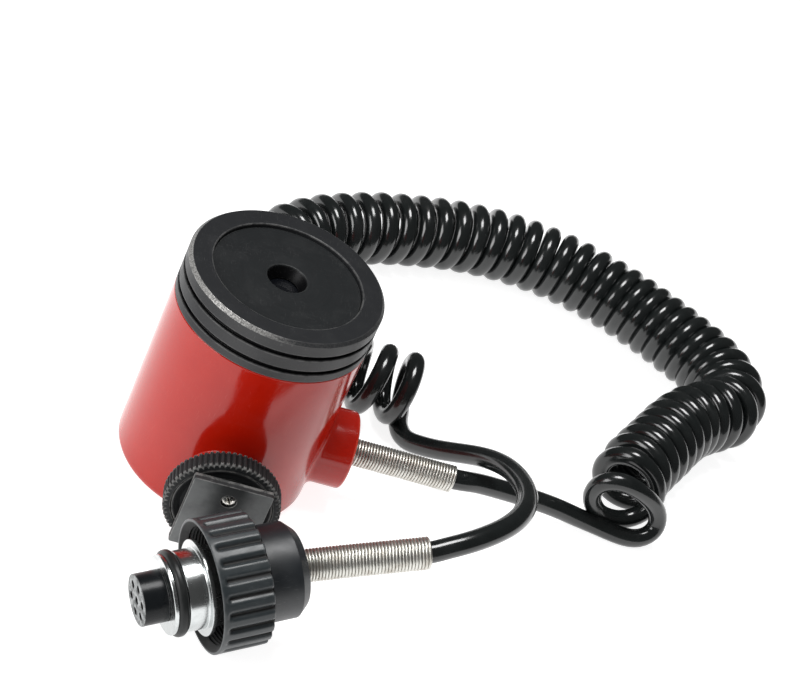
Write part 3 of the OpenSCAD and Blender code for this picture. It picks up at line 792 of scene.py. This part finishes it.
def make_plug():
    """The plated body, its O-ring, the backshell and the insert with its pin holes."""
    front, back = ORING_SEAT
    barrel = turned_piece("plug_barrel_skin", "plug_body", "plug_chrome", [
        (BODY_LIP_R, -BODY_FRONT, 0.1), (BODY_FRONT_R, -BODY_FRONT, 0.25),
        (BODY_FRONT_R, front, 0.12), (ORING_SEAT_R, front, 0.3), (ORING_SEAT_R, back, 0.3),
        (BODY_R, back, 0.2), (BODY_R, -FLANGE_T, 0.25), (FLANGE_R, -FLANGE_T, 0.12),
        (FLANGE_R, 0, 0.12), (BODY_R, 0, 0.2), (BODY_R, BODY_BACK, 0.1),
        (BODY_BORE, BODY_BACK, 0.1), (BODY_BORE, BODY_FLOOR, 0.1), (BODY_LIP_R, BODY_FLOOR, 0.1),
    ], PLUG_AXIS, 192, 4)
    inner, low, high = ORING_SEAT_R + 0.01, front + 0.05, back - 0.05
    oring = turned_piece("oring_skin", "plug_oring", "black_rubber", [
        (inner, low, 1.15), (ORING_R, low, 1.15), (ORING_R, high, 1.15), (inner, high, 1.15),
    ], PLUG_AXIS, 160, 8, even=False, smooth_angle=60)
    taper = BACK_START + BACK_L
    end, seat = taper + TAPER_L, taper + TAPER_L - SEAT_DEPTH
    lead_r = CORD_D / 2 + 0.1
    backshell = turned_piece("backshell_skin", "plug_backshell", "black_plastic", [
        (BACK_BORE, BACK_START, 0.1), (BACK_R, BACK_START, 0.25), (BACK_R, taper, 0.15),
        (BACK_END_R, end, 0.5), (SEAT_R, end, 0.2), (SEAT_R, seat, 0.1),
        (lead_r, seat, 0), (lead_r, BACK_COLLAR, 0), (BACK_BORE, BACK_BORE_END, 0),
    ], PLUG_AXIS, 192, 6)
    holes = [(0, 0)] + circle(PIN_CIRCLE_R, PINS)
    head = plate("insert_head", circle(INSERT_R, 128), holes, PIN_HOLE_R,
                 -PLUG_TIP, -INSERT_NECK, 0.2, PLUG_AXIS, 20)
    start = -INSERT_NECK - 0.05
    neck = turned("insert_neck", [
        (0, start, 0), (INSERT_NECK_R, start, 0), (INSERT_NECK_R, BODY_FLOOR, 0.2),
        (0, BODY_FLOOR, 0),
    ], PLUG_AXIS, 96, 3)
    insert = joined_piece("insert_skin", "plug_insert", "insert_black", [head, neck])
    return barrel, oring, backshell, insert


shell = make_shell()
front_ring, front_disc, window = make_front()
lock_ring, washer, stem, foot, screws = make_shoe()
nut = make_nut()
barrel, oring, backshell, insert = make_plug()


# ---------------------------------------------------------------- materials
def shared_effect(name, outputs, build, **inputs):
    """A node group with named sockets, made once and placed in each material."""
    tree = bpy.data.node_groups.new(name, "ShaderNodeTree")
    socket = tree.interface.new_socket
    socket("Place", in_out="INPUT", socket_type="NodeSocketVector")
    for label, value in inputs.items():
        socket(label, in_out="INPUT", socket_type="NodeSocketFloat").default_value = value
    for label in outputs:
        socket(label, in_out="OUTPUT", socket_type="NodeSocketFloat")
    given = tree.nodes.new("NodeGroupInput").outputs
    bench = Bench(tree)
    results = build(bench, given["Place"], given)
    bench.set(tree.nodes.new("NodeGroupOutput"), **results)
    return tree


class Bench:
    """A node tree being put together, with short ways to add its usual nodes."""

    def __init__(self, tree):
        self.tree = tree

    def add(self, kind, **settings):
        node = self.tree.nodes.new(kind)
        for key, value in settings.items():
            setattr(node, key, value)
        return node

    def feed(self, socket, source):
        if isinstance(source, bpy.types.NodeSocket):
            self.tree.links.new(source, socket)
        elif source is not None:
            socket.default_value = source

    def set(self, node, **sources):
        """Feed a node's inputs by their labels, with _ for a space."""
        for label, source in sources.items():
            self.feed(node.inputs[label.replace("_", " ")], source)
        return node.outputs

    def calc(self, operation, a, b=None, c=None):
        node = self.add("ShaderNodeMath", operation=operation)
        for socket, source in zip(node.inputs, (a, b, c)):
            self.feed(socket, source)
        return node.outputs[0]

    def plus(self, a, b):
        return self.calc("ADD", a, b)

    def times(self, a, b):
        return self.calc("MULTIPLY", a, b)

    def over(self, a, b):
        return self.calc("DIVIDE", a, b)

    def larger(self, a, b):
        return self.calc("MAXIMUM", a, b)

    def linear(self, value, factor, extra):
        return self.calc("MULTIPLY_ADD", value, factor, extra)

    def across(self, xyz):
        """How far a place is from the piece's own axis."""
        return self.calc("SQRT", self.plus(*(self.times(xyz[k], xyz[k]) for k in "XY")))

    def vector(self, operation, a, b):
        node = self.add("ShaderNodeVectorMath", operation=operation)
        self.feed(node.inputs[0], a)
        self.feed(node.inputs[1], b)
        return node.outputs["Value" if operation == "DOT_PRODUCT" else "Vector"]

    def noise(self, place, scale, detail=3.0, rough=0.55, twist=0.0):
        return self.set(self.add("ShaderNodeTexNoise"), Vector=place, Scale=scale, Detail=detail,
                        Roughness=rough, Distortion=twist)["Fac"]

    def between(self, value, low, high, to_low=0.0, to_high=1.0):
        node = self.add("ShaderNodeMapRange", interpolation_type="SMOOTHSTEP")
        return self.set(node, Value=value, From_Min=low, From_Max=high, To_Min=to_low,
                        To_Max=to_high)["Result"]

    def blend(self, share, a, b):
        node = self.add("ShaderNodeMix", data_type="RGBA")
        for k, source in ((0, share), (6, a), (7, b)):
            self.feed(node.inputs[k], (*source, 1) if isinstance(source, tuple) else source)
        return node.outputs[2]

    def parts(self, vector):
        return self.set(self.add("ShaderNodeSeparateXYZ"), Vector=vector)

    def effect(self, tree, **values):
        return self.set(self.add("ShaderNodeGroup", node_tree=tree), **values)


def build_rub(bench, place, given):
    """Bare, rubbed edges: convex edges broken up by a coarse and a fine noise."""
    sharp = bench.add("ShaderNodeAttribute", attribute_name="edge").outputs["Fac"]
    edge = bench.between(sharp, given["Low"], given["High"])
    coarse = bench.noise(place, bench.over(1.0, given["Patch"]), 4, 0.6)
    fine = bench.noise(place, bench.over(6.0, given["Patch"]), 3, 0.7)
    broken = bench.between(bench.linear(fine, 0.35, coarse), 0.52, 0.78)
    worn = bench.times(edge, bench.linear(broken, 0.8, 0.2))
    return {"Mask": bench.times(worn, given["Amount"])}


def build_scratches(bench, place, given):
    """Fine scratches in two crossing directions."""
    lines = []
    for turn, stretch in (((0.4, 0.3, 0.5), (9, 0.35, 0.5)), ((-0.5, 0.2, -0.9), (0.4, 11, 0.5))):
        lay = bench.set(bench.add("ShaderNodeMapping"), Vector=place, Rotation=turn, Scale=stretch)
        field = bench.noise(lay[0], bench.over(1.0, given["Spacing"]), 2, 0.5)
        lines.append(bench.between(field, 0.66, 0.72))
    here = bench.between(bench.noise(place, 0.12, 2), 0.35, 0.65)
    mask = bench.times(bench.times(bench.larger(*lines), here), given["Amount"])
    return {"Mask": mask, "Height": bench.calc("SUBTRACT", 1.0, mask)}


def build_grain(bench, place, given):
    """The skin of a moulded or blasted surface: a fine grain over a slow waviness."""
    fine = bench.noise(place, bench.over(1.0, given["Size"]), 4, 0.6)
    slow = bench.noise(place, bench.over(0.12, given["Size"]), 2, 0.5)
    return {"Height": bench.linear(slow, given["Wave"], fine),
            "Shade": bench.linear(slow, 0.6, bench.times(fine, 0.4))}


def build_dust(bench, place, given):
    """Grey specks and a thin film, thicker on what faces up."""
    normal = bench.parts(bench.add("ShaderNodeNewGeometry").outputs["Normal"])
    up = bench.between(normal["Z"], -0.2, 1.0, 0.35, 1.0)
    specks = bench.between(bench.noise(place, 3.1, 2, 0.4), 0.7, 0.8)
    film = bench.between(bench.noise(place, 0.16, 4, 0.6, 0.6), 0.42, 0.75)
    both = bench.plus(bench.times(specks, 0.5), bench.times(film, 0.5))
    return {"Mask": bench.times(bench.times(both, up), given["Amount"]), "Film": film}


def build_turning(bench, place, given):
    """Fine rings left by a lathe round the piece's own axis."""
    xyz = bench.parts(place)
    radius = bench.across(xyz)
    ring = bench.set(bench.add("ShaderNodeCombineXYZ"), X=radius, Y=xyz["Z"])
    field = bench.noise(ring[0], bench.over(1.0, given["Pitch"]), 3, 0.7)
    return {"Height": field, "Radius": radius}


edge_rub = shared_effect("edge_rub", ["Mask"], build_rub,
                         Low=0.3, High=0.9, Patch=3.0, Amount=1.0)
fine_scratches = shared_effect("fine_scratches", ["Mask", "Height"], build_scratches,
                               Spacing=1.0, Amount=0.5)
skin_grain = shared_effect("skin_grain", ["Height", "Shade"], build_grain, Size=0.2, Wave=1.0)
settled_dust = shared_effect("settled_dust", ["Mask", "Film"], build_dust, Amount=0.2)
turning_lines = shared_effect("turning_lines", ["Height", "Radius"], build_turning, Pitch=0.3)


class Finish(Bench):
    """A material being made: its place on the piece in mm, its shader and its bumps.
    With own, the place is in the piece's own axes, and otherwise in the object's."""

    def __init__(self, name, own=True, **values):
        self.material = bpy.data.materials.new(name)
        self.material.use_nodes = True
        super().__init__(self.material.node_tree)
        self.shader = self.tree.nodes["Principled BSDF"]
        self.bumped = None
        if own:
            self.place = self.add("ShaderNodeAttribute", attribute_name="own").outputs["Vector"]
        else:
            metres = self.add("ShaderNodeTexCoord").outputs["Object"]
            self.place = self.vector("MULTIPLY", metres, (1000, 1000, 1000))
        self.set(self.shader, **values)

    def rubbed(self, patch, amount, **limits):
        return self.effect(edge_rub, Place=self.place, Patch=patch, Amount=amount, **limits)["Mask"]

    def scratched(self, spacing, amount):
        return self.effect(fine_scratches, Place=self.place, Spacing=spacing, Amount=amount)

    def grained(self, size, wave):
        return self.effect(skin_grain, Place=self.place, Size=size, Wave=wave)

    def dusted(self, amount):
        return self.effect(settled_dust, Place=self.place, Amount=amount)

    def lathed(self, pitch):
        return self.effect(turning_lines, Place=self.place, Pitch=pitch)

    def colour(self, source):
        self.feed(self.shader.inputs["Base Color"], source)

    def gloss(self, source):
        self.feed(self.shader.inputs["Roughness"], source)

    def metal(self, source):
        self.feed(self.shader.inputs["Metallic"], source)

    def bump(self, height, depth_mm, strength):
        self.bumped = self.set(self.add("ShaderNodeBump"), Strength=strength,
                               Distance=depth_mm * MM, Height=height, Normal=self.bumped)[0]
        self.feed(self.shader.inputs["Normal"], self.bumped)


def red_plastic():
    """Glossy red plastic, paler where its edges are rubbed."""
    f = Finish("red_gloss_plastic", IOR=1.5)
    grain = f.grained(0.55, 1.6)
    rub = f.rubbed(4.0, 0.4, Low=0.75, High=1.0)
    lines = f.scratched(1.3, 0.22)
    dust = f.dusted(0.04)
    red = f.blend(grain["Shade"], (0.33, 0.005, 0.001), (0.4, 0.01, 0.002))
    red = f.blend(rub, red, (0.7, 0.1, 0.06))
    red = f.blend(f.times(lines["Mask"], 0.5), red, (0.6, 0.12, 0.1))
    f.colour(f.blend(dust["Mask"], red, (0.6, 0.3, 0.27)))
    gloss = f.between(dust["Film"], 0, 1, 0.12, 0.17)
    f.gloss(f.plus(gloss, f.times(lines["Mask"], 0.25)))
    f.bump(grain["Height"], 0.012, 0.6)
    f.bump(lines["Height"], 0.01, 0.5)
    return f.material


def worn_black_metal(name, dark, light, wear, roughness, pitch):
    """Black anodised aluminium: bare on its knocked outer chamfer, mostly on the front-left
    side as a painted highlight, greyer on the front-right lands as a painted sheen, and
    near black in the sunk faces, the grooves and the sensor's cone as painted shade."""
    f = Finish(name, Specular_IOR_Level=0.22)
    rings = f.lathed(pitch)
    rub = f.rubbed(2.4, wear)
    lines = f.scratched(0.8, 0.5)
    dust = f.dusted(0.03)
    xyz, radius = f.parts(f.place), rings["Radius"]
    black = f.blend(rings["Height"], dark, light)
    black = f.blend(dust["Mask"], black, (0.2, 0.2, 0.2))
    # radius and height add up to the same number all over the chamfer
    slope = SHELL_R + RING_TOP - RING_CHAMFER
    chamfer = f.between(f.plus(radius, xyz["Z"]), slope - 0.13, slope - 0.02)
    # painted highlight: the bare metal on the chamfer is kept mostly to its front-left side, where
    # the highlight falls
    highlight_side = f.between(f.vector("DOT_PRODUCT", f.place, (-0.036, -0.022, 0.0)), 0.35, 0.9)
    knocks = f.between(f.noise(f.place, 2.4, 4, 0.75), 0.4, 0.62, 0.25, 1.0)
    bare = f.times(f.times(chamfer, knocks), f.linear(highlight_side, 0.8, 0.05))
    bare = f.larger(f.times(bare, wear), f.times(rub, 0.12))
    bare = f.larger(bare, f.times(lines["Mask"], 0.12))
    # painted sheen: the outer lands are painted greyer on their front-right side
    lands = f.between(radius, SHELL_R - 0.12, SHELL_R - 0.03)
    front = f.between(f.vector("DOT_PRODUCT", f.place, (0.02, -0.037, 0.0)), 0.1, 0.9)
    black = f.blend(f.times(lands, front), black, (0.05, 0.05, 0.051))
    # painted shade: sunk faces below the top, such as the groove bottoms, and the sensor's cone are
    # painted near black
    sunk = f.between(radius, SHELL_R - 0.5, SHELL_R - 0.2, 1.0, 0.0)
    low = f.times(sunk, f.between(xyz["Z"], 56.6, 56.9, 1.0, 0.0))
    cone = f.between(radius, CONE_R - 0.25, CONE_R + 0.05, 1.0, 0.0)
    black = f.blend(f.larger(low, cone), black, (0.0015, 0.0015, 0.002))
    f.colour(f.blend(bare, black, (0.6, 0.59, 0.57)))
    f.metal(f.times(bare, 0.9))
    film = f.between(dust["Film"], 0, 1, roughness - 0.01, roughness + 0.03)
    f.gloss(f.plus(film, f.times(bare, -0.1)))
    f.bump(rings["Height"], 0.008, 0.5)
    f.bump(lines["Height"], 0.012, 0.6)
    return f.material


def window_glass():
    """Dark glass with a film of dust."""
    f = Finish("dark_window", IOR=1.5)
    dust = f.dusted(0.05)
    lines = f.scratched(0.5, 0.4)
    f.colour(f.blend(dust["Mask"], (0.003, 0.0035, 0.005), (0.12, 0.12, 0.12)))
    f.gloss(f.between(dust["Film"], 0, 1, 0.05, 0.16))
    f.bump(lines["Height"], 0.004, 0.4)
    return f.material


def shoe_metal():
    """Satin black paint on metal, chipped at the edges, with a painted reflection in patches
    lighter towards both sides of the foot's face.
    """
    f = Finish("shoe_satin_black", Specular_IOR_Level=0.35)
    grain = f.grained(0.3, 1.0)
    rub = f.rubbed(1.6, 0.25)
    lines = f.scratched(0.7, 0.5)
    dust = f.dusted(0.05)
    xyz = f.parts(f.place)
    # painted reflection: the foot's face is painted lighter towards both sides, in patches
    sides = f.between(f.calc("ABSOLUTE", xyz["X"]), 1.5, 6.5)
    plate_face = f.between(xyz["Z"], PLATE_FACE - 0.1, PLATE_FACE - 0.02)
    patches = f.between(f.noise(f.place, 0.16, 3, 0.6), 0.25, 0.6, 0.6, 1.0)
    painted_sheen = f.times(f.times(f.linear(sides, 0.92, 0.08), plate_face), patches)
    black = f.blend(painted_sheen, (0.009, 0.01, 0.011), (0.15, 0.155, 0.155))
    black = f.blend(dust["Mask"], black, (0.22, 0.22, 0.21))
    bare = f.larger(rub, f.times(lines["Mask"], 0.15))
    f.colour(f.blend(bare, black, (0.5, 0.49, 0.47)))
    f.metal(f.times(bare, 0.9))
    dull = f.linear(plate_face, -0.16, 0.56)
    f.gloss(f.linear(grain["Shade"], 0.12, f.linear(bare, -0.2, dull)))
    f.bump(grain["Height"], 0.012, 0.5)
    f.bump(lines["Height"], 0.01, 0.6)
    return f.material


def nickel_steel():
    """Bright screw heads, darker down in their crosses."""
    f = Finish("nickel_screw", Metallic=1.0)
    lines = f.scratched(0.3, 0.8)
    grain = f.grained(0.1, 1.0)
    floor = PLATE_FACE - SCREW_SUNK - CROSS_DEPTH
    deep = f.between(f.parts(f.place)["Z"], floor, floor + 0.3)
    metal = f.blend(grain["Shade"], (0.74, 0.72, 0.68), (0.92, 0.9, 0.86))
    f.colour(f.blend(deep, (0.06, 0.055, 0.05), metal))
    f.gloss(f.linear(lines["Mask"], 0.25, 0.22))
    f.bump(lines["Height"], 0.008, 0.6)
    return f.material


def spring_wire():
    """Bright drawn wire, dulled brown where dirt sits between the coils."""
    f = Finish("spring_wire", own=False, Metallic=1.0)
    stain = f.between(f.noise(f.place, 0.35, 4, 0.65), 0.42, 0.68)
    grain = f.grained(0.5, 0.8)
    wire = f.blend(grain["Shade"], (0.58, 0.57, 0.53), (0.7, 0.69, 0.65))
    f.colour(f.blend(f.times(stain, 0.4), wire, (0.36, 0.31, 0.25)))
    f.gloss(f.linear(stain, 0.1, 0.4))
    f.bump(grain["Height"], 0.002, 0.4)
    return f.material


def moulded_black(name, dark, light, roughness, wear, size, bore=None):
    """Moulded black plastic with a fine skin and rubbed edges, and painted shade inside its bore.
    """
    f = Finish(name)
    grain = f.grained(size, 0.8)
    rub = f.rubbed(1.8, wear)
    lines = f.scratched(0.9, 0.35)
    dust = f.dusted(0.05)
    black = f.blend(grain["Shade"], dark, light)
    black = f.blend(dust["Mask"], black, (0.19, 0.19, 0.19))
    gloss = f.linear(dust["Film"], 0.1, roughness)
    if bore:
        # painted shade: the inside of the bore is painted near black
        inside = f.between(f.across(f.parts(f.place)), bore - 0.35, bore - 0.05, 1.0, 0.0)
        black = f.blend(inside, black, (0.002, 0.002, 0.002))
        gloss = f.linear(inside, 0.3, gloss)
    worn = f.larger(rub, f.times(lines["Mask"], 0.35))
    f.colour(f.blend(worn, black, (0.27, 0.27, 0.27)))
    f.gloss(gloss)
    f.bump(grain["Height"], 0.016, 0.6)
    f.bump(lines["Height"], 0.01, 0.4)
    return f.material


def plug_chrome():
    """Bright plate with handling smears, fine lines and a few dull specks."""
    f = Finish("bright_plate", Metallic=1.0)
    rings = f.lathed(0.5)
    lines = f.scratched(0.6, 0.6)
    dust = f.dusted(0.3)
    bright = f.blend(dust["Film"], (0.6, 0.62, 0.62), (0.48, 0.5, 0.5))
    dull = f.larger(dust["Mask"], f.times(lines["Mask"], 0.4))
    f.colour(f.blend(dull, bright, (0.34, 0.33, 0.31)))
    f.gloss(f.plus(f.between(dust["Film"], 0, 1, 0.2, 0.3), f.times(lines["Mask"], 0.2)))
    f.bump(rings["Height"], 0.004, 0.5)
    return f.material


def soft_rubber(name, own=True):
    """Dull black rubber with a little dust."""
    f = Finish(name, own, Specular_IOR_Level=0.25)
    grain = f.grained(0.25, 1.0)
    dust = f.dusted(0.06)
    black = f.blend(grain["Shade"], (0.006, 0.007, 0.007), (0.013, 0.014, 0.014))
    f.colour(f.blend(dust["Mask"], black, (0.15, 0.15, 0.15)))
    f.gloss(f.linear(dust["Film"], 0.15, 0.36))
    f.bump(grain["Height"], 0.01, 0.6)
    return f.material


def contact_insert():
    """Glossy black resin with rubbed edges and a pale grey, rougher end face."""
    f = Finish("insert_resin", IOR=1.5, Specular_IOR_Level=0.18)
    xyz = f.parts(f.place)
    dust = f.dusted(0.06)
    grain = f.grained(0.22, 1.2)
    rub = f.rubbed(1.4, 0.4)
    face = f.between(xyz["Z"], -PLUG_TIP + 0.16, -PLUG_TIP + 0.04)
    pale_face = f.blend(f.between(grain["Shade"], 0.4, 0.58), (0.07, 0.075, 0.075), (0.3, 0.31, 0.31))
    black = f.blend(dust["Mask"], (0.006, 0.007, 0.008), (0.16, 0.16, 0.16))
    black = f.blend(rub, black, (0.3, 0.3, 0.3))
    f.colour(f.blend(face, black, pale_face))
    f.gloss(f.linear(face, 0.25, f.between(dust["Film"], 0, 1, 0.26, 0.36)))
    f.bump(grain["Height"], 0.01, 0.4)
    return f.material


def cord_jacket():
    """Glossy black jacket with faint smears and specks."""
    f = Finish("cord_jacket", own=False, IOR=1.52, Coat_Weight=0.2, Coat_Roughness=0.06)
    grain = f.grained(0.5, 1.4)
    dust = f.dusted(0.06)
    lines = f.scratched(1.1, 0.35)
    black = f.blend(grain["Shade"], (0.004, 0.005, 0.005), (0.01, 0.012, 0.012))
    f.colour(f.blend(dust["Mask"], black, (0.13, 0.13, 0.13)))
    f.gloss(f.plus(f.between(dust["Film"], 0, 1, 0.17, 0.25), f.times(lines["Mask"], 0.2)))
    f.bump(grain["Height"], 0.01, 0.5)
    f.bump(lines["Height"], 0.006, 0.4)
    return f.material


def board_green():
    """Circuit board: green mask over copper tracks."""
    f = Finish("board_mask", own=False)
    tracks = f.set(f.add("ShaderNodeTexBrick", offset=0.5), Vector=f.place, Scale=0.35,
                   Mortar_Size=0.06, Brick_Width=1.1, Row_Height=0.5)["Fac"]
    grain = f.grained(0.2, 1.0)
    mask = f.blend(grain["Shade"], (0.01, 0.09, 0.035), (0.015, 0.13, 0.05))
    f.colour(f.blend(tracks, mask, (0.03, 0.2, 0.07)))
    f.gloss(f.between(grain["Shade"], 0.3, 0.7, 0.25, 0.4))
    f.bump(tracks, 0.03, 0.6)
    return f.material


def plain_metal(name, dark, light, roughness):
    """Small metal pieces inside: rolled sheet or turned pins, slightly dulled."""
    f = Finish(name, own=False, Metallic=1.0)
    grain = f.grained(0.15, 1.2)
    lines = f.scratched(0.4, 0.6)
    metal = f.blend(grain["Shade"], dark, light)
    f.colour(f.blend(f.times(lines["Mask"], 0.5), metal, dark))
    f.gloss(f.linear(grain["Shade"], 0.15, roughness))
    f.bump(grain["Height"], 0.008, 0.5)
    return f.material


def inner_plastic():
    """Plain black plastic inside the housing."""
    f = Finish("inner_plastic", own=False)
    grain = f.grained(0.3, 1.0)
    f.colour(f.blend(grain["Shade"], (0.012, 0.013, 0.014), (0.03, 0.031, 0.032)))
    f.gloss(f.between(grain["Shade"], 0.3, 0.7, 0.4, 0.52))
    f.bump(grain["Height"], 0.02, 0.6)
    return f.material


def dress(material, *pieces):
    """Give new pieces their material."""
    for piece in pieces:
        piece.data.materials.clear()
        piece.data.materials.append(material)


def dress_node(material, *names):
    """Give solids that stay as they are a material."""
    for name in names:
        for slot in NODES[name].material_slots:
            slot.material = material


dress(red_plastic(), shell)
dress(worn_black_metal("ring_anodised", (0.009, 0.0095, 0.0105), (0.017, 0.018, 0.02),
                       wear=0.8, roughness=0.42, pitch=0.22), front_ring)
dress(worn_black_metal("disc_anodised", (0.007, 0.0078, 0.0085), (0.013, 0.0145, 0.0155),
                       wear=0.2, roughness=0.42, pitch=0.35), front_disc)
dress(window_glass(), window)
dress(shoe_metal(), lock_ring, washer, stem, foot)
dress(nickel_steel(), screws)
dress(spring_wire(), boss_spring, tail_spring)
dress(moulded_black("nut_black", (0.013, 0.017, 0.019), (0.024, 0.03, 0.033),
                    roughness=0.36, wear=0.1, size=0.18, bore=14.7), nut)
dress(moulded_black("backshell_black", (0.007, 0.0085, 0.0105), (0.014, 0.017, 0.02),
                    roughness=0.38, wear=0.15, size=0.16), backshell)
dress(plug_chrome(), barrel)
dress(soft_rubber("seal_rubber"), oring)
dress(contact_insert(), insert)
dress(cord_jacket(), cord)
dress_node(soft_rubber("inner_rubber", own=False), "front_seal", "cord_gland")
dress_node(inner_plastic(), "board_holder")
dress_node(board_green(), "sensor_board")
for node, name, dark, light, roughness in (
    ("light_sensor", "sensor_can", (0.42, 0.42, 0.4), (0.62, 0.62, 0.6), 0.28),
    ("holder_clip", "clip_steel", (0.3, 0.3, 0.31), (0.5, 0.5, 0.5), 0.3),
    ("plug_contacts", "contact_brass", (0.32, 0.22, 0.08), (0.62, 0.46, 0.2), 0.25),
):
    dress_node(plain_metal(name, dark, light, roughness), node)


# ------------------------------------------------------- floor and lighting
def add_light(name, place, target, size, power):
    """A square soft light, turned to its target."""
    data = bpy.data.lights.new(name, "AREA")
    data.size = size
    data.energy = power
    light = linked(name, data)
    light.location = place
    light.rotation_euler = (Vector(target) - Vector(place)).to_track_quat("-Z", "Y").to_euler()


def add_room():
    """A room that looks plain white, whose light is dim, and dimmer in reflections."""
    world = bpy.data.worlds.new("room")
    bpy.context.scene.world = world
    world.use_nodes = True
    bench = Bench(world.node_tree)
    ray = bench.add("ShaderNodeLightPath").outputs
    lit = bench.between(ray["Is Glossy Ray"], 0, 1, 0.35, 0.07)
    bench.set(world.node_tree.nodes["Background"], Color=(1, 1, 1, 1),
              Strength=bench.larger(lit, ray["Is Camera Ray"]))


def add_table(reach=3.0, drop=0.0003):
    """A white table just under the part, bright enough to read as plain white."""
    corners = [(x * reach, y * reach, 0) for x, y in ((-1, -1), (1, -1), (1, 1), (-1, 1))]
    mesh = bpy.data.meshes.new("table")
    mesh.from_pydata(corners, [], [(0, 1, 2, 3)])
    table = linked("table", mesh)
    table.location.z = -drop
    f = Finish("table_white", own=False, Roughness=0.6, Specular_IOR_Level=0.1,
               Emission_Color=(1, 1, 1, 1), Emission_Strength=0.86)
    f.colour(f.blend(f.noise(f.place, 0.01, 2), (0.5, 0.5, 0.5), (0.54, 0.54, 0.54)))
    mesh.materials.append(f.material)


add_table()
add_room()
add_light("soft_top", (-0.02, 0.12, 0.75), (0.04, 0.0, 0.0), 0.3, 4.8)
add_light("soft_left", (-0.7, -0.35, 0.42), (0.0, 0.0, 0.03), 0.5, 5.4)
bpy.context.scene.view_settings.view_transform = "Standard"
